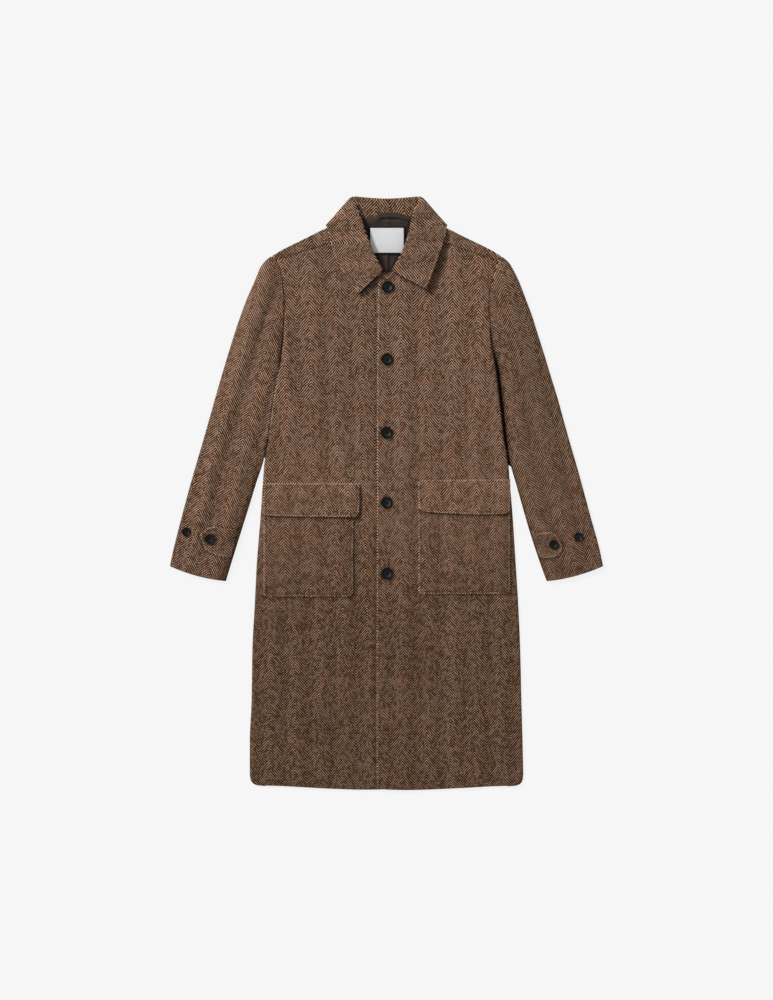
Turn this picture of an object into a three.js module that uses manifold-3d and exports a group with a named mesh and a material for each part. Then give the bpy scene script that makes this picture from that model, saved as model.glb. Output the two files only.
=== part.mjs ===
// A single-breasted herringbone wool coat that lies flat on its back, front up.
// Millimetres, +Z up, +Y toward the collar, +X toward the wearer's left.
// Each piece is a closed wall of cloth worked out from the sections below.
import * as THREE from 'three';
import Module from 'manifold-3d';
import { mergeVertices } from 'three/addons/utils/BufferGeometryUtils.js';

const wasm = await Module();
wasm.setup();

// ---- sizes ----
const WOOL = 2.8;            // wall of the body cloth
const SLEEVE_WALL = 2.6;     // wall of the sleeve cloth
const COLLAR_WALL = 2.4;     // wall of the collar
const TRIM_WALL = 2.2;       // wall of pockets, flaps and tabs
const LINING_WALL = 1.0;     // wall of lining and label
const LOOP_WALL = 1.6;       // wall of the hanger loop
const AIR = 0.8;             // room between two layers that lie on each other
const SEAM = 0.3;            // room between two pieces at a seam
const ARMHOLE_SEAM = 1.7;    // the same, measured along the sleeve's slanting sections
const LAP_RISE = 3.2;        // how far the left front is lifted by the right one
const LAP_FROM = 42, LAP_TO = 64;      // where it comes down again, across
const NECK_RISE = 3.2;       // how far the turned-down collar lifts what lies on it
const NECK_FROM = 463, NECK_TO = 503;  // where that lift grows, along the back
const HEM_BOW = 6.8;         // how far the hem bows down between its corners
const CUFF_BOW = 5;          // how far each cuff bows out
const CHAMFER = 3.5;         // reach of a sleeve's rounded edge
const BUTTON_R = 11.6, BUTTON_H = 4.2; // front button
const CUFF_BUTTON_R = 9, CUFF_BUTTON_H = 3.6;
const CENTRE_Y = -0.6;       // brings the middle of its length to the origin

// wearer's right front, a row for each section from hem to shoulder seam: side seam or armhole, then front edge or neckline
const PANEL_RIGHT = [
  { side_x: -261, side_y: -583, edge_x: 21, edge_y: -589.6 },
  { side_x: -271.8, side_y: -572, edge_x: 21, edge_y: -577 },
  { side_x: -274, side_y: -555, edge_x: 21, edge_y: -557 },
  { side_x: -273, side_y: -493, edge_x: 21, edge_y: -495 },
  { side_x: -269.4, side_y: -413, edge_x: 21, edge_y: -415 },
  { side_x: -267.8, side_y: -313, edge_x: 21, edge_y: -313 },
  { side_x: -263, side_y: -221, edge_x: 21, edge_y: -221 },
  { side_x: -259, side_y: -141, edge_x: 21, edge_y: -141 },
  { side_x: -251.4, side_y: -45, edge_x: 21, edge_y: -45 },
  { side_x: -247, side_y: 19, edge_x: 21, edge_y: 19 },
  { side_x: -243, side_y: 67, edge_x: 21, edge_y: 67 },
  { side_x: -236, side_y: 107, edge_x: 21, edge_y: 111 },
  { side_x: -226, side_y: 187, edge_x: 21, edge_y: 191 },
  { side_x: -214.4, side_y: 251, edge_x: 21, edge_y: 263 },
  { side_x: -206.4, side_y: 307, edge_x: 21, edge_y: 327 },
  { side_x: -203.8, side_y: 351, edge_x: 21, edge_y: 385 },
  { side_x: -204, side_y: 385, edge_x: 21, edge_y: 432 },
  { side_x: -205.4, side_y: 407, edge_x: -4, edge_y: 434 },
  { side_x: -207.8, side_y: 425, edge_x: -30, edge_y: 451 },
  { side_x: -211, side_y: 443, edge_x: -53, edge_y: 476 },
  { side_x: -215.4, side_y: 455, edge_x: -70, edge_y: 495 },
  { side_x: -220.4, side_y: 466, edge_x: -78, edge_y: 510 },
];
// wearer's left front, which laps over the right one, in the same columns
const PANEL_LEFT = [
  { side_x: 260, side_y: -583, edge_x: -18.4, edge_y: -590 },
  { side_x: 270.6, side_y: -572, edge_x: -19, edge_y: -577 },
  { side_x: 273, side_y: -555, edge_x: -19.4, edge_y: -557 },
  { side_x: 271.6, side_y: -493, edge_x: -19.8, edge_y: -495 },
  { side_x: 269.4, side_y: -413, edge_x: -19.8, edge_y: -415 },
  { side_x: 267, side_y: -313, edge_x: -19.6, edge_y: -313 },
  { side_x: 263, side_y: -221, edge_x: -19.4, edge_y: -221 },
  { side_x: 258, side_y: -141, edge_x: -19.2, edge_y: -141 },
  { side_x: 251.8, side_y: -45, edge_x: -19, edge_y: -45 },
  { side_x: 246.4, side_y: 19, edge_x: -19, edge_y: 19 },
  { side_x: 243.6, side_y: 67, edge_x: -19, edge_y: 67 },
  { side_x: 239.6, side_y: 107, edge_x: -18.8, edge_y: 111 },
  { side_x: 230, side_y: 187, edge_x: -18.6, edge_y: 191 },
  { side_x: 221.8, side_y: 251, edge_x: -18.2, edge_y: 263 },
  { side_x: 211, side_y: 301, edge_x: -17.8, edge_y: 323 },
  { side_x: 207, side_y: 343, edge_x: -17.4, edge_y: 381 },
  { side_x: 205, side_y: 371, edge_x: -15, edge_y: 429 },
  { side_x: 205.8, side_y: 393, edge_x: 0, edge_y: 439.8 },
  { side_x: 207.6, side_y: 411, edge_x: 19, edge_y: 445.8 },
  { side_x: 212.2, side_y: 429, edge_x: 40, edge_y: 463 },
  { side_x: 217.4, side_y: 447, edge_x: 59, edge_y: 485 },
  { side_x: 222.2, side_y: 465, edge_x: 78, edge_y: 513 },
];
// right shoulder: share of the forward seam from armhole to neck, and the fold where the back turns over
const SHOULDER_RIGHT = [
  { share: 0, fold_x: -230, fold_y: 473.4 },
  { share: 0.09, fold_x: -215, fold_y: 483 },
  { share: 0.23, fold_x: -193, fold_y: 494.4 },
  { share: 0.38, fold_x: -171, fold_y: 505 },
  { share: 0.55, fold_x: -147, fold_y: 517 },
  { share: 0.71, fold_x: -125, fold_y: 527.8 },
  { share: 0.85, fold_x: -107, fold_y: 534.4 },
  { share: 0.94, fold_x: -93, fold_y: 541.4 },
  { share: 1, fold_x: -82, fold_y: 548 },
];
// left shoulder, in the same columns
const SHOULDER_LEFT = [
  { share: 0, fold_x: 230.6, fold_y: 473 },
  { share: 0.09, fold_x: 215, fold_y: 483 },
  { share: 0.23, fold_x: 193, fold_y: 494.4 },
  { share: 0.38, fold_x: 171, fold_y: 505 },
  { share: 0.54, fold_x: 146, fold_y: 517 },
  { share: 0.69, fold_x: 125, fold_y: 527.8 },
  { share: 0.84, fold_x: 107, fold_y: 534.4 },
  { share: 0.93, fold_x: 93, fold_y: 541.4 },
  { share: 1, fold_x: 82, fold_y: 548 },
];
// top of the back, from the right armhole along the shoulder and the neck seam to the centre
const BACK_TOP_RIGHT = [
  { x: -223.4, y: 470.6 },
  { x: -214, y: 479 },
  { x: -170, y: 501 },
  { x: -124, y: 523.8 },
  { x: -92, y: 537.8 },
  { x: -80.4, y: 543.8 },
  { x: -41, y: 543.6 },
  { x: 0, y: 543 },
];
// the same from the left armhole
const BACK_TOP_LEFT = [
  { x: 223.6, y: 470.6 },
  { x: 214, y: 479 },
  { x: 170, y: 501 },
  { x: 124, y: 523.8 },
  { x: 92, y: 537.8 },
  { x: 80.4, y: 543.8 },
  { x: 41, y: 543.6 },
];
// right sleeve, a row for each section from cap to cuff: inner edge (armhole, then underarm seam), outer fold, height, crown, and how far the inner edge closes
const SLEEVE_RIGHT = [
  { in_x: -220.4, in_y: 466, out_x: -229, out_y: 472, height: 7.2, crown: 0, round: 0 },
  { in_x: -215.4, in_y: 455, out_x: -242, out_y: 465, height: 7.6, crown: 1, round: 0 },
  { in_x: -211, in_y: 443, out_x: -252, out_y: 452, height: 7.8, crown: 2, round: 0 },
  { in_x: -207.8, in_y: 425, out_x: -260, out_y: 433, height: 8, crown: 3, round: 0 },
  { in_x: -205.4, in_y: 407, out_x: -268.4, out_y: 413, height: 8, crown: 3.5, round: 0 },
  { in_x: -204, in_y: 385, out_x: -277.4, out_y: 393, height: 8, crown: 4, round: 0 },
  { in_x: -203.8, in_y: 351, out_x: -287.4, out_y: 367, height: 8, crown: 4, round: 0.1 },
  { in_x: -206.4, in_y: 307, out_x: -299.4, out_y: 333, height: 8, crown: 3.5, round: 0.3 },
  { in_x: -214.4, in_y: 251, out_x: -317, out_y: 277, height: 8.4, crown: 2.5, round: 0.9 },
  { in_x: -227, in_y: 187, out_x: -335.4, out_y: 215, height: 8.6, crown: 2, round: 1 },
  { in_x: -237, in_y: 107, out_x: -357, out_y: 139, height: 8.6, crown: 1.5, round: 1 },
  { in_x: -243.8, in_y: 67, out_x: -368.4, out_y: 99, height: 8.6, crown: 1.2, round: 1 },
  { in_x: -258, in_y: 23, out_x: -380.6, out_y: 58, height: 8.6, crown: 1, round: 1 },
  { in_x: -269, in_y: -13, out_x: -390.6, out_y: 23, height: 8.6, crown: 1, round: 1 },
  { in_x: -289, in_y: -77, out_x: -408.4, out_y: -43, height: 8.6, crown: 0.6, round: 1 },
  { in_x: -309, in_y: -141, out_x: -425.2, out_y: -109, height: 8.6, crown: 0, round: 1 },
  { in_x: -319.4, in_y: -175.4, out_x: -433, out_y: -145, height: 8.6, crown: 0, round: 1 },
];
// left sleeve, in the same columns
const SLEEVE_LEFT = [
  { in_x: 222.2, in_y: 465, out_x: 229.8, out_y: 471.2, height: 7.2, crown: 0, round: 0 },
  { in_x: 217.4, in_y: 447, out_x: 244, out_y: 461, height: 7.6, crown: 1, round: 0 },
  { in_x: 212.2, in_y: 429, out_x: 254, out_y: 446, height: 7.8, crown: 2, round: 0 },
  { in_x: 207.6, in_y: 411, out_x: 263, out_y: 428, height: 8, crown: 3, round: 0 },
  { in_x: 205.8, in_y: 393, out_x: 270, out_y: 411, height: 8, crown: 3.5, round: 0 },
  { in_x: 205, in_y: 371, out_x: 279, out_y: 387, height: 8, crown: 4, round: 0 },
  { in_x: 207, in_y: 343, out_x: 289.6, out_y: 359, height: 8, crown: 4, round: 0.1 },
  { in_x: 211, in_y: 301, out_x: 303, out_y: 317, height: 8, crown: 3.5, round: 0.3 },
  { in_x: 227, in_y: 249, out_x: 316.2, out_y: 275, height: 8.4, crown: 2.5, round: 0.9 },
  { in_x: 234, in_y: 203, out_x: 328, out_y: 236, height: 8.6, crown: 2, round: 1 },
  { in_x: 239.6, in_y: 151, out_x: 343, out_y: 187, height: 8.6, crown: 1.6, round: 1 },
  { in_x: 244.8, in_y: 105, out_x: 355, out_y: 143, height: 8.6, crown: 1.4, round: 1 },
  { in_x: 249, in_y: 63, out_x: 368, out_y: 97, height: 8.6, crown: 1.2, round: 1 },
  { in_x: 261, in_y: 11, out_x: 382.6, out_y: 47, height: 8.6, crown: 1, round: 1 },
  { in_x: 286, in_y: -81, out_x: 407, out_y: -43, height: 8.6, crown: 0.6, round: 1 },
  { in_x: 306, in_y: -141, out_x: 425, out_y: -108, height: 8.6, crown: 0, round: 1 },
  { in_x: 318.6, in_y: -175.6, out_x: 433, out_y: -145, height: 8.6, crown: 0, round: 1 },
];
// collar, a row for each section from the right point to centre back: neck seam, roll line, outer edge, half the roll's width, and how far the section has turned over
const COLLAR_RIGHT = [
  { neck_x: -16, neck_y: 433, neck_z: 11.6, roll_x: -7.8, roll_y: 443.8, roll_z: 14.6, edge_x: -55.8, edge_y: 399, edge_z: 12.4, half: 2, turn: 0 },
  { neck_x: -26, neck_y: 445, neck_z: 11, roll_x: -13, roll_y: 454.6, roll_z: 17, edge_x: -63, edge_y: 406.6, edge_z: 11, half: 2.4, turn: 0 },
  { neck_x: -43.8, neck_y: 464, neck_z: 9.4, roll_x: -25, roll_y: 478, roll_z: 19.5, edge_x: -81, edge_y: 435, edge_z: 10.2, half: 3, turn: 0 },
  { neck_x: -61, neck_y: 486, neck_z: 10.8, roll_x: -37.8, roll_y: 509, roll_z: 21, edge_x: -98.6, edge_y: 463, edge_z: 11.2, half: 3, turn: 5 },
  { neck_x: -71.4, neck_y: 507, neck_z: 11.8, roll_x: -46.6, roll_y: 535, roll_z: 20.4, edge_x: -109.8, edge_y: 495, edge_z: 12.2, half: 3, turn: 10 },
  { neck_x: -75.4, neck_y: 526, neck_z: 11.8, roll_x: -54.6, roll_y: 558.2, roll_z: 18.4, edge_x: -116.2, edge_y: 519, edge_z: 12.6, half: 3, turn: 25 },
  { neck_x: -76.2, neck_y: 540, neck_z: 11.4, roll_x: -61.8, roll_y: 577, roll_z: 15.8, edge_x: -119.8, edge_y: 531.4, edge_z: 11.6, half: 3, turn: 50 },
  { neck_x: -74.6, neck_y: 545.4, neck_z: 9.4, roll_x: -69.8, roll_y: 587.4, roll_z: 11, edge_x: -121, edge_y: 535, edge_z: 6.4, half: 2.8, turn: 90 },
  { neck_x: -67.8, neck_y: 546.2, neck_z: 8.2, roll_x: -63, roll_y: 591.8, roll_z: 6.8, edge_x: -115.8, edge_y: 532.2, edge_z: 1.7, half: 2.5, turn: 140 },
  { neck_x: -55, neck_y: 545.2, neck_z: 7.8, roll_x: -50, roll_y: 591.2, roll_z: 5, edge_x: -99, edge_y: 522.6, edge_z: 1.3, half: 2.4, turn: 180 },
  { neck_x: -31, neck_y: 544.2, neck_z: 7.6, roll_x: -28.2, roll_y: 589.4, roll_z: 4, edge_x: -57, edge_y: 515, edge_z: 1.3, half: 2.4, turn: 180 },
  { neck_x: 0, neck_y: 543.8, neck_z: 7.6, roll_x: 0, roll_y: 588.2, roll_z: 3.9, edge_x: 0, edge_y: 511.8, edge_z: 1.3, half: 2.4, turn: 180 },
];
// collar, from the left point to near centre back
const COLLAR_LEFT = [
  { neck_x: 21.8, neck_y: 441, neck_z: 11.6, roll_x: 10.6, roll_y: 444.2, roll_z: 15, edge_x: 79, edge_y: 407, edge_z: 16.6, half: 2, turn: 0 },
  { neck_x: 28.2, neck_y: 450, neck_z: 11.6, roll_x: 17.8, roll_y: 455.8, roll_z: 18, edge_x: 83.4, edge_y: 419, edge_z: 16, half: 2.4, turn: 0 },
  { neck_x: 46.2, neck_y: 472, neck_z: 10.6, roll_x: 31.4, roll_y: 481.8, roll_z: 20.4, edge_x: 97, edge_y: 453, edge_z: 15.6, half: 3, turn: 0 },
  { neck_x: 60.2, neck_y: 491.8, neck_z: 11.4, roll_x: 42.2, roll_y: 510.6, roll_z: 21.6, edge_x: 107.4, edge_y: 484, edge_z: 15.8, half: 3, turn: 5 },
  { neck_x: 69.8, neck_y: 509.8, neck_z: 11.8, roll_x: 49.4, roll_y: 540.2, roll_z: 20.6, edge_x: 115.8, edge_y: 507, edge_z: 15.2, half: 3, turn: 10 },
  { neck_x: 74.2, neck_y: 527, neck_z: 11.8, roll_x: 55, roll_y: 563.8, roll_z: 18.2, edge_x: 119, edge_y: 521.8, edge_z: 13.8, half: 3, turn: 25 },
  { neck_x: 75.8, neck_y: 540, neck_z: 11.4, roll_x: 61.4, roll_y: 578.2, roll_z: 15.6, edge_x: 120.2, edge_y: 531.4, edge_z: 11.8, half: 3, turn: 50 },
  { neck_x: 74.6, neck_y: 545.4, neck_z: 9.4, roll_x: 69.8, roll_y: 587.4, roll_z: 11, edge_x: 121, edge_y: 535, edge_z: 6.4, half: 2.8, turn: 90 },
  { neck_x: 67.8, neck_y: 546.2, neck_z: 8.2, roll_x: 63, roll_y: 591.8, roll_z: 6.8, edge_x: 115.8, edge_y: 532.2, edge_z: 1.7, half: 2.5, turn: 140 },
  { neck_x: 55, neck_y: 545.2, neck_z: 7.8, roll_x: 50, roll_y: 591.2, roll_z: 5, edge_x: 99, edge_y: 522.6, edge_z: 1.3, half: 2.4, turn: 180 },
  { neck_x: 31, neck_y: 544.2, neck_z: 7.6, roll_x: 28.2, roll_y: 589.4, roll_z: 4, edge_x: 57, edge_y: 515, edge_z: 1.3, half: 2.4, turn: 180 },
];
// lining that shows in the neck
const LINING = [
  { y: 540.6, left: -74, right: 74.2 },
  { y: 525, left: -74, right: 74.6 },
  { y: 509, left: -73, right: 71 },
  { y: 495, left: -66, right: 61 },
  { y: 477, left: -50, right: 48 },
  { y: 461, left: -35, right: 33 },
  { y: 450, left: -25, right: 19 },
  { y: 443, left: -13, right: 3 },
];

// flaps and pockets: corners, straight top, lower edge bowed down
const POCKETS = [
  { side: 'right', left: -245.5, right: -66, top: 3, bottom: -206, bow: 0 },
  { side: 'left', left: 64, right: 247, top: 8, bottom: -201, bow: 0 },
];
const FLAPS = [
  { side: 'right', left: -245.2, right: -54, topLeft: 20.5, topRight: 20.5, botLeft: -44, botRight: -47, bow: 1 },
  { side: 'left', left: 63.5, right: 247, topLeft: 26.5, topRight: 28.5, botLeft: -35, botRight: -40.5, bow: 3.5 },
];
const FLAP_STEP = 13;        // from the flap's seam to where it lies on the pocket
// front buttons, top to bottom
const FRONT_BUTTONS = [
  { x: 2.4, y: 412.6 }, { x: 0.8, y: 268 }, { x: -0.2, y: 122 }, { x: 0, y: -18 }, { x: 1, y: -159 },
];
// cuff tabs: corners from the root's top to the root's bottom
const TABS = [
  { side: 'right', root_x: -298, root_y: -72, shoulder_x: -351, shoulder_y: -65, tip_x: -373.4, tip_y: -80,
    heel_x: -362, heel_y: -114, under_x: -335, under_y: -125, base_x: -309.5, base_y: -128 },
  { side: 'left', root_x: 290.6, root_y: -79, shoulder_x: 335, shoulder_y: -76.5, tip_x: 352.6, tip_y: -105,
    heel_x: 345, heel_y: -125, under_x: 325, under_y: -128.5, base_x: 307.4, base_y: -130 },
];
const CUFF_BUTTONS = [
  { name: 'button_tab_right', x: -352.4, y: -90.2, onTab: 1 },
  { name: 'button_cuff_right', x: -399.4, y: -76.4, onTab: 0 },
  { name: 'button_tab_left', x: 333, y: -101.4, onTab: 1 },
  { name: 'button_cuff_left', x: 383, y: -87, onTab: 0 },
];
const LABEL = { left: -32, right: 34, top: 529.5, bottom: 481 };
// hanger loop: centre line, half width and lift off the stand
const LOOP = [
  { x: -29.5, y: 545.5, half: 4.6, rise: 0 },
  { x: -25, y: 550.5, half: 4.8, rise: 0.6 },
  { x: -17, y: 554, half: 5, rise: 1.6 },
  { x: -4, y: 554.5, half: 5, rise: 2.2 },
  { x: 12, y: 554, half: 5, rise: 2 },
  { x: 26, y: 551, half: 4.8, rise: 1.2 },
  { x: 38, y: 548.5, half: 4.6, rise: 0.4 },
  { x: 50, y: 547, half: 4.4, rise: 0 },
];
// the largest soft swells of the cloth: centre, reach, direction and height
const SWELLS = [
  { x: -175, y: -420, along: 150, across: 45, angle: 96, height: 1.4 },
  { x: -90, y: -330, along: 190, across: 38, angle: 88, height: 1.2 },
  { x: 165, y: -400, along: 170, across: 42, angle: 84, height: 1.5 },
  { x: -150, y: 150, along: 110, across: 40, angle: 70, height: 1.2 },
  { x: 150, y: 170, along: 120, across: 42, angle: 108, height: 1.3 },
];

// ---- helpers ----
const lerp = (a, b, t) => a + (b - a) * t;
const clamp01 = (t) => Math.min(1, Math.max(0, t));
const ramp = (v, from, to) => clamp01((v - from) / (to - from));

// lift of every layer that lies on the turned-down collar
const neckLift = (y) => NECK_RISE * ramp(y, NECK_FROM, NECK_TO);
const lapLift = (x) => LAP_RISE * (1 - ramp(x, LAP_FROM, LAP_TO));
function swell(x, y) {
  let h = 0;
  for (const s of SWELLS) {
    const a = THREE.MathUtils.degToRad(s.angle);
    const u = ((x - s.x) * Math.cos(a) + (y - s.y) * Math.sin(a)) / s.along;
    const v = (-(x - s.x) * Math.sin(a) + (y - s.y) * Math.cos(a)) / s.across;
    h += s.height * Math.exp(-2 * (u * u + v * v));
  }
  return h;
}
const rightFrontZ = (x, y) => WOOL + AIR + neckLift(y) + swell(x, y) * ramp(-x, -10, 20);
const leftFrontZ = (x, y) => WOOL + AIR + neckLift(y) + lapLift(x) + swell(x, y) * ramp(x, 20, 60);

// A wall of cloth: a grid of points on its face, the same grid on its back, and its rim.
function wall(face, back) {
  const rows = face.length, cols = face[0].length, n = rows * cols;
  const pos = [];
  for (const g of [face, back]) for (const r of g) for (const p of r) pos.push(p[0], p[1], p[2]);
  const idx = [];
  const F = (i, j) => i * cols + j, B = (i, j) => n + i * cols + j;
  for (let i = 0; i + 1 < rows; i++) for (let j = 0; j + 1 < cols; j++) {
    idx.push(F(i, j), F(i, j + 1), F(i + 1, j + 1), F(i, j), F(i + 1, j + 1), F(i + 1, j));
    idx.push(B(i, j), B(i + 1, j + 1), B(i, j + 1), B(i, j), B(i + 1, j), B(i + 1, j + 1));
  }
  for (let i = 0; i + 1 < rows; i++) {
    idx.push(F(i, 0), F(i + 1, 0), B(i + 1, 0), F(i, 0), B(i + 1, 0), B(i, 0));
    const j = cols - 1;
    idx.push(F(i, j), B(i + 1, j), F(i + 1, j), F(i, j), B(i, j), B(i + 1, j));
  }
  for (let j = 0; j + 1 < cols; j++) {
    idx.push(F(0, j), B(0, j + 1), F(0, j + 1), F(0, j), B(0, j), B(0, j + 1));
    const i = rows - 1;
    idx.push(F(i, j), F(i, j + 1), B(i, j + 1), F(i, j), B(i, j + 1), B(i, j));
  }
  // faces point out of the wall
  let volume = 0;
  for (let k = 0; k < idx.length; k += 3) {
    const [a, b, c] = [idx[k] * 3, idx[k + 1] * 3, idx[k + 2] * 3];
    volume += pos[a] * (pos[b + 1] * pos[c + 2] - pos[b + 2] * pos[c + 1])
      + pos[a + 1] * (pos[b + 2] * pos[c] - pos[b] * pos[c + 2])
      + pos[a + 2] * (pos[b] * pos[c + 1] - pos[b + 1] * pos[c]);
  }
  if (volume < 0) for (let k = 0; k < idx.length; k += 3) [idx[k + 1], idx[k + 2]] = [idx[k + 2], idx[k + 1]];
  const g = new THREE.BufferGeometry();
  g.setAttribute('position', new THREE.Float32BufferAttribute(pos, 3));
  g.setIndex(idx);
  return g;
}

// ---- solids joined and cut ----
function toSolid(geometry) {
  const g = geometry.clone();
  for (const name of Object.keys(g.attributes)) if (name !== 'position') g.deleteAttribute(name);
  const m = mergeVertices(g, 1e-4);
  return new wasm.Manifold(new wasm.Mesh({
    numProp: 3,
    vertProperties: new Float32Array(m.attributes.position.array),
    triVerts: new Uint32Array(m.index.array),
  }));
}
function toGeometry(solid) {
  const m = solid.getMesh();
  const g = new THREE.BufferGeometry();
  const p = new Float32Array(m.numVert * 3);
  for (let i = 0; i < m.numVert; i++) for (let k = 0; k < 3; k++) p[i * 3 + k] = m.vertProperties[i * m.numProp + k];
  g.setAttribute('position', new THREE.BufferAttribute(p, 3));
  g.setIndex(new THREE.BufferAttribute(new Uint32Array(m.triVerts), 1));
  return g;
}

// ---- fronts ----
// A row runs straight from the front edge or neckline to the side seam or armhole.
function frontPanel(table, offsets, shares, zOf) {
  const face = [], back = [];
  table.forEach((r, k) => {
    const dx = r.side_x - r.edge_x, dy = r.side_y - r.edge_y, len = Math.hypot(dx, dy);
    const at = offsets.map((o) => o / len);
    const last = at[at.length - 1];
    for (const s of shares) at.push(lerp(last, 1, s));
    const bow = HEM_BOW * clamp01(1 - k / 3);
    const top = [], bot = [];
    for (const t of at) {
      const x = r.edge_x + dx * t;
      const y = r.edge_y + dy * t - bow * 4 * t * (1 - t) * (1 - t);
      const z = zOf(x, y);
      top.push([x, y, z + WOOL]);
      bot.push([x, y, z]);
    }
    face.push(top);
    back.push(bot);
  });
  return wall(face, back);
}
const frontRight = frontPanel(PANEL_RIGHT, [0, 20, 45], [0.22, 0.45, 0.7, 1], rightFrontZ);
const frontLeft = frontPanel(PANEL_LEFT, [0, 20, 40, 60, 85], [0.22, 0.45, 0.7, 1], leftFrontZ);

// ---- back ----
const topLine = [...BACK_TOP_RIGHT, ...BACK_TOP_LEFT.slice().reverse()];
function backPanel() {
  const cols = topLine.length;
  const from = topLine[0].x, to = topLine[cols - 1].x;
  const share = topLine.map((p) => (p.x - from) / (to - from));
  const face = [], back = [];
  const addRow = (points) => {
    const top = [], bot = [];
    points.forEach(([x, y], j) => {
      const edge = j === 0 || j === cols - 1;
      top.push([x, y, neckLift(y) + WOOL + (edge ? AIR - SEAM : 0)]);
      bot.push([x, y, neckLift(y)]);
    });
    face.push(top);
    back.push(bot);
  };
  PANEL_RIGHT.forEach((r, k) => {
    const l = PANEL_LEFT[k];
    const bow = HEM_BOW * clamp01(1 - k / 3);
    addRow(share.map((t) => [lerp(r.side_x, l.side_x, t), lerp(r.side_y, l.side_y, t) - bow * 4 * t * (1 - t)]));
  });
  const n = PANEL_RIGHT.length - 1, r = PANEL_RIGHT[n], l = PANEL_LEFT[n];
  for (const s of [0.2, 0.4, 0.6, 0.8, 1]) {
    addRow(share.map((t, j) => [
      lerp(lerp(r.side_x, l.side_x, t), topLine[j].x, s),
      lerp(lerp(r.side_y, l.side_y, t), topLine[j].y, s),
    ]));
  }
  return wall(face, back);
}
// The strip of the back that turns over the shoulder to the forward seam.
// Its section, from inside the back, round the fold, to the seam: reach from the fold and height
// of the outer face, then of the inner face.
const TURN = [
  { out: 9, out_z: 0.3, in: 9, in_z: 2.5 },
  { out: 4, out_z: 0.3, in: 4.6, in_z: 2.5 },
  { out: 1.2, out_z: 1.0, in: 3.4, in_z: 2.7 },
  { out: 0, out_z: 3.2, in: 2.9, in_z: 3.05 },
  { out: 1.2, out_z: 5.4, in: 3.4, in_z: 3.5 },
  { out: 4, out_z: 6.4, in: 4.6, in_z: 3.6 },
];
function shoulderTurn(table, panel) {
  const row = panel[panel.length - 1];
  const seamLen = Math.hypot(row.edge_x - row.side_x, row.edge_y - row.side_y);
  const nx = -(row.edge_y - row.side_y) / seamLen, ny = (row.edge_x - row.side_x) / seamLen;
  const up = ny > 0 ? 1 : -1;
  const top = WOOL + AIR + WOOL;
  const face = [], back = [];
  for (const s of table) {
    const sx = lerp(row.side_x, row.edge_x, s.share) + nx * up * SEAM;
    const sy = lerp(row.side_y, row.edge_y, s.share) + ny * up * SEAM;
    const w = Math.hypot(sx - s.fold_x, sy - s.fold_y);
    const at = (d, z) => {
      const x = lerp(s.fold_x, sx, d / w), y = lerp(s.fold_y, sy, d / w);
      return [x, y, z + neckLift(y)];
    };
    // outer face: under, round, over; inner face inside it
    const outer = TURN.map((p) => [Math.min(p.out, w * 0.9), p.out_z]);
    const inner = TURN.map((p) => [Math.min(p.in, w * 0.9), p.in_z]);
    outer.push([Math.max(5, w * 0.5), top], [w, top]);
    inner.push([Math.max(5.4, w * 0.5), top - WOOL], [w, top - WOOL]);
    face.push(outer.map(([d, z]) => at(d, z)));
    back.push(inner.map(([d, z]) => at(d, z)));
  }
  return wall(face, back);
}
const backSolid = toSolid(backPanel())
  .add(toSolid(shoulderTurn(SHOULDER_RIGHT, PANEL_RIGHT)))
  .add(toSolid(shoulderTurn(SHOULDER_LEFT, PANEL_LEFT)));

// ---- sleeves: one wall bent round, from the inner edge over the top, round the fold and back underneath ----
function sleeve(table) {
  const face = [], back = [];
  table.forEach((r, k) => {
    let dx = r.out_x - r.in_x, dy = r.out_y - r.in_y;
    const full = Math.hypot(dx, dy);
    dx /= full; dy /= full;
    const ix = r.in_x + dx * ARMHOLE_SEAM, iy = r.in_y + dy * ARMHOLE_SEAM;
    const w = full - ARMHOLE_SEAM, H = r.height, c = Math.min(CHAMFER, w * 0.3);
    const slit = SEAM / 2 / H;
    // s from the inner edge, z as a share of the height
    const at = [];
    at.push([0, lerp(1, 0.5 + slit, r.round)], [c * 0.3, lerp(1, 0.85, r.round)], [c, 1]);
    for (const t of [0.25, 0.5, 0.75]) at.push([lerp(c, w - c, t), 1]);
    at.push([w - c, 1], [w - c * 0.3, 0.85], [w, 0.5], [w - c * 0.3, 0.15], [w - c, 0]);
    for (const t of [0.6667, 0.3333]) at.push([lerp(c, w - c, t), 0]);
    at.push([c, 0], [c * 0.3, lerp(0, 0.15, r.round)], [0, lerp(0, 0.5 - slit, r.round)]);
    const m = SLEEVE_WALL;
    const bow = k >= table.length - 3 ? CUFF_BOW * (k - table.length + 3) / 2 : 0;
    const place = (s, z) => {
      const t = s / w, swellOut = bow * 4 * t * (1 - t);
      return [ix + dx * s, iy + dy * s - swellOut, z];
    };
    face.push(at.map(([s, h]) => place(s, h * H + (h > 0.99 ? r.crown * 4 * (s / w) * (1 - s / w) : 0))));
    back.push(at.map(([s, h]) => {
      const si = m * r.round + s * (w - m * r.round - m) / w;
      const zi = h > 0.5 + slit / 2 ? Math.max(H / 2 + SEAM / 2, H / 2 + (h - 0.5) * (H - 2 * m))
        : h < 0.5 - slit / 2 ? Math.min(H / 2 - SEAM / 2, H / 2 + (h - 0.5) * (H - 2 * m)) : H / 2;
      return place(si, zi + (h > 0.99 ? r.crown * 4 * (s / w) * (1 - s / w) : 0));
    }));
  });
  return wall(face, back);
}

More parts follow.
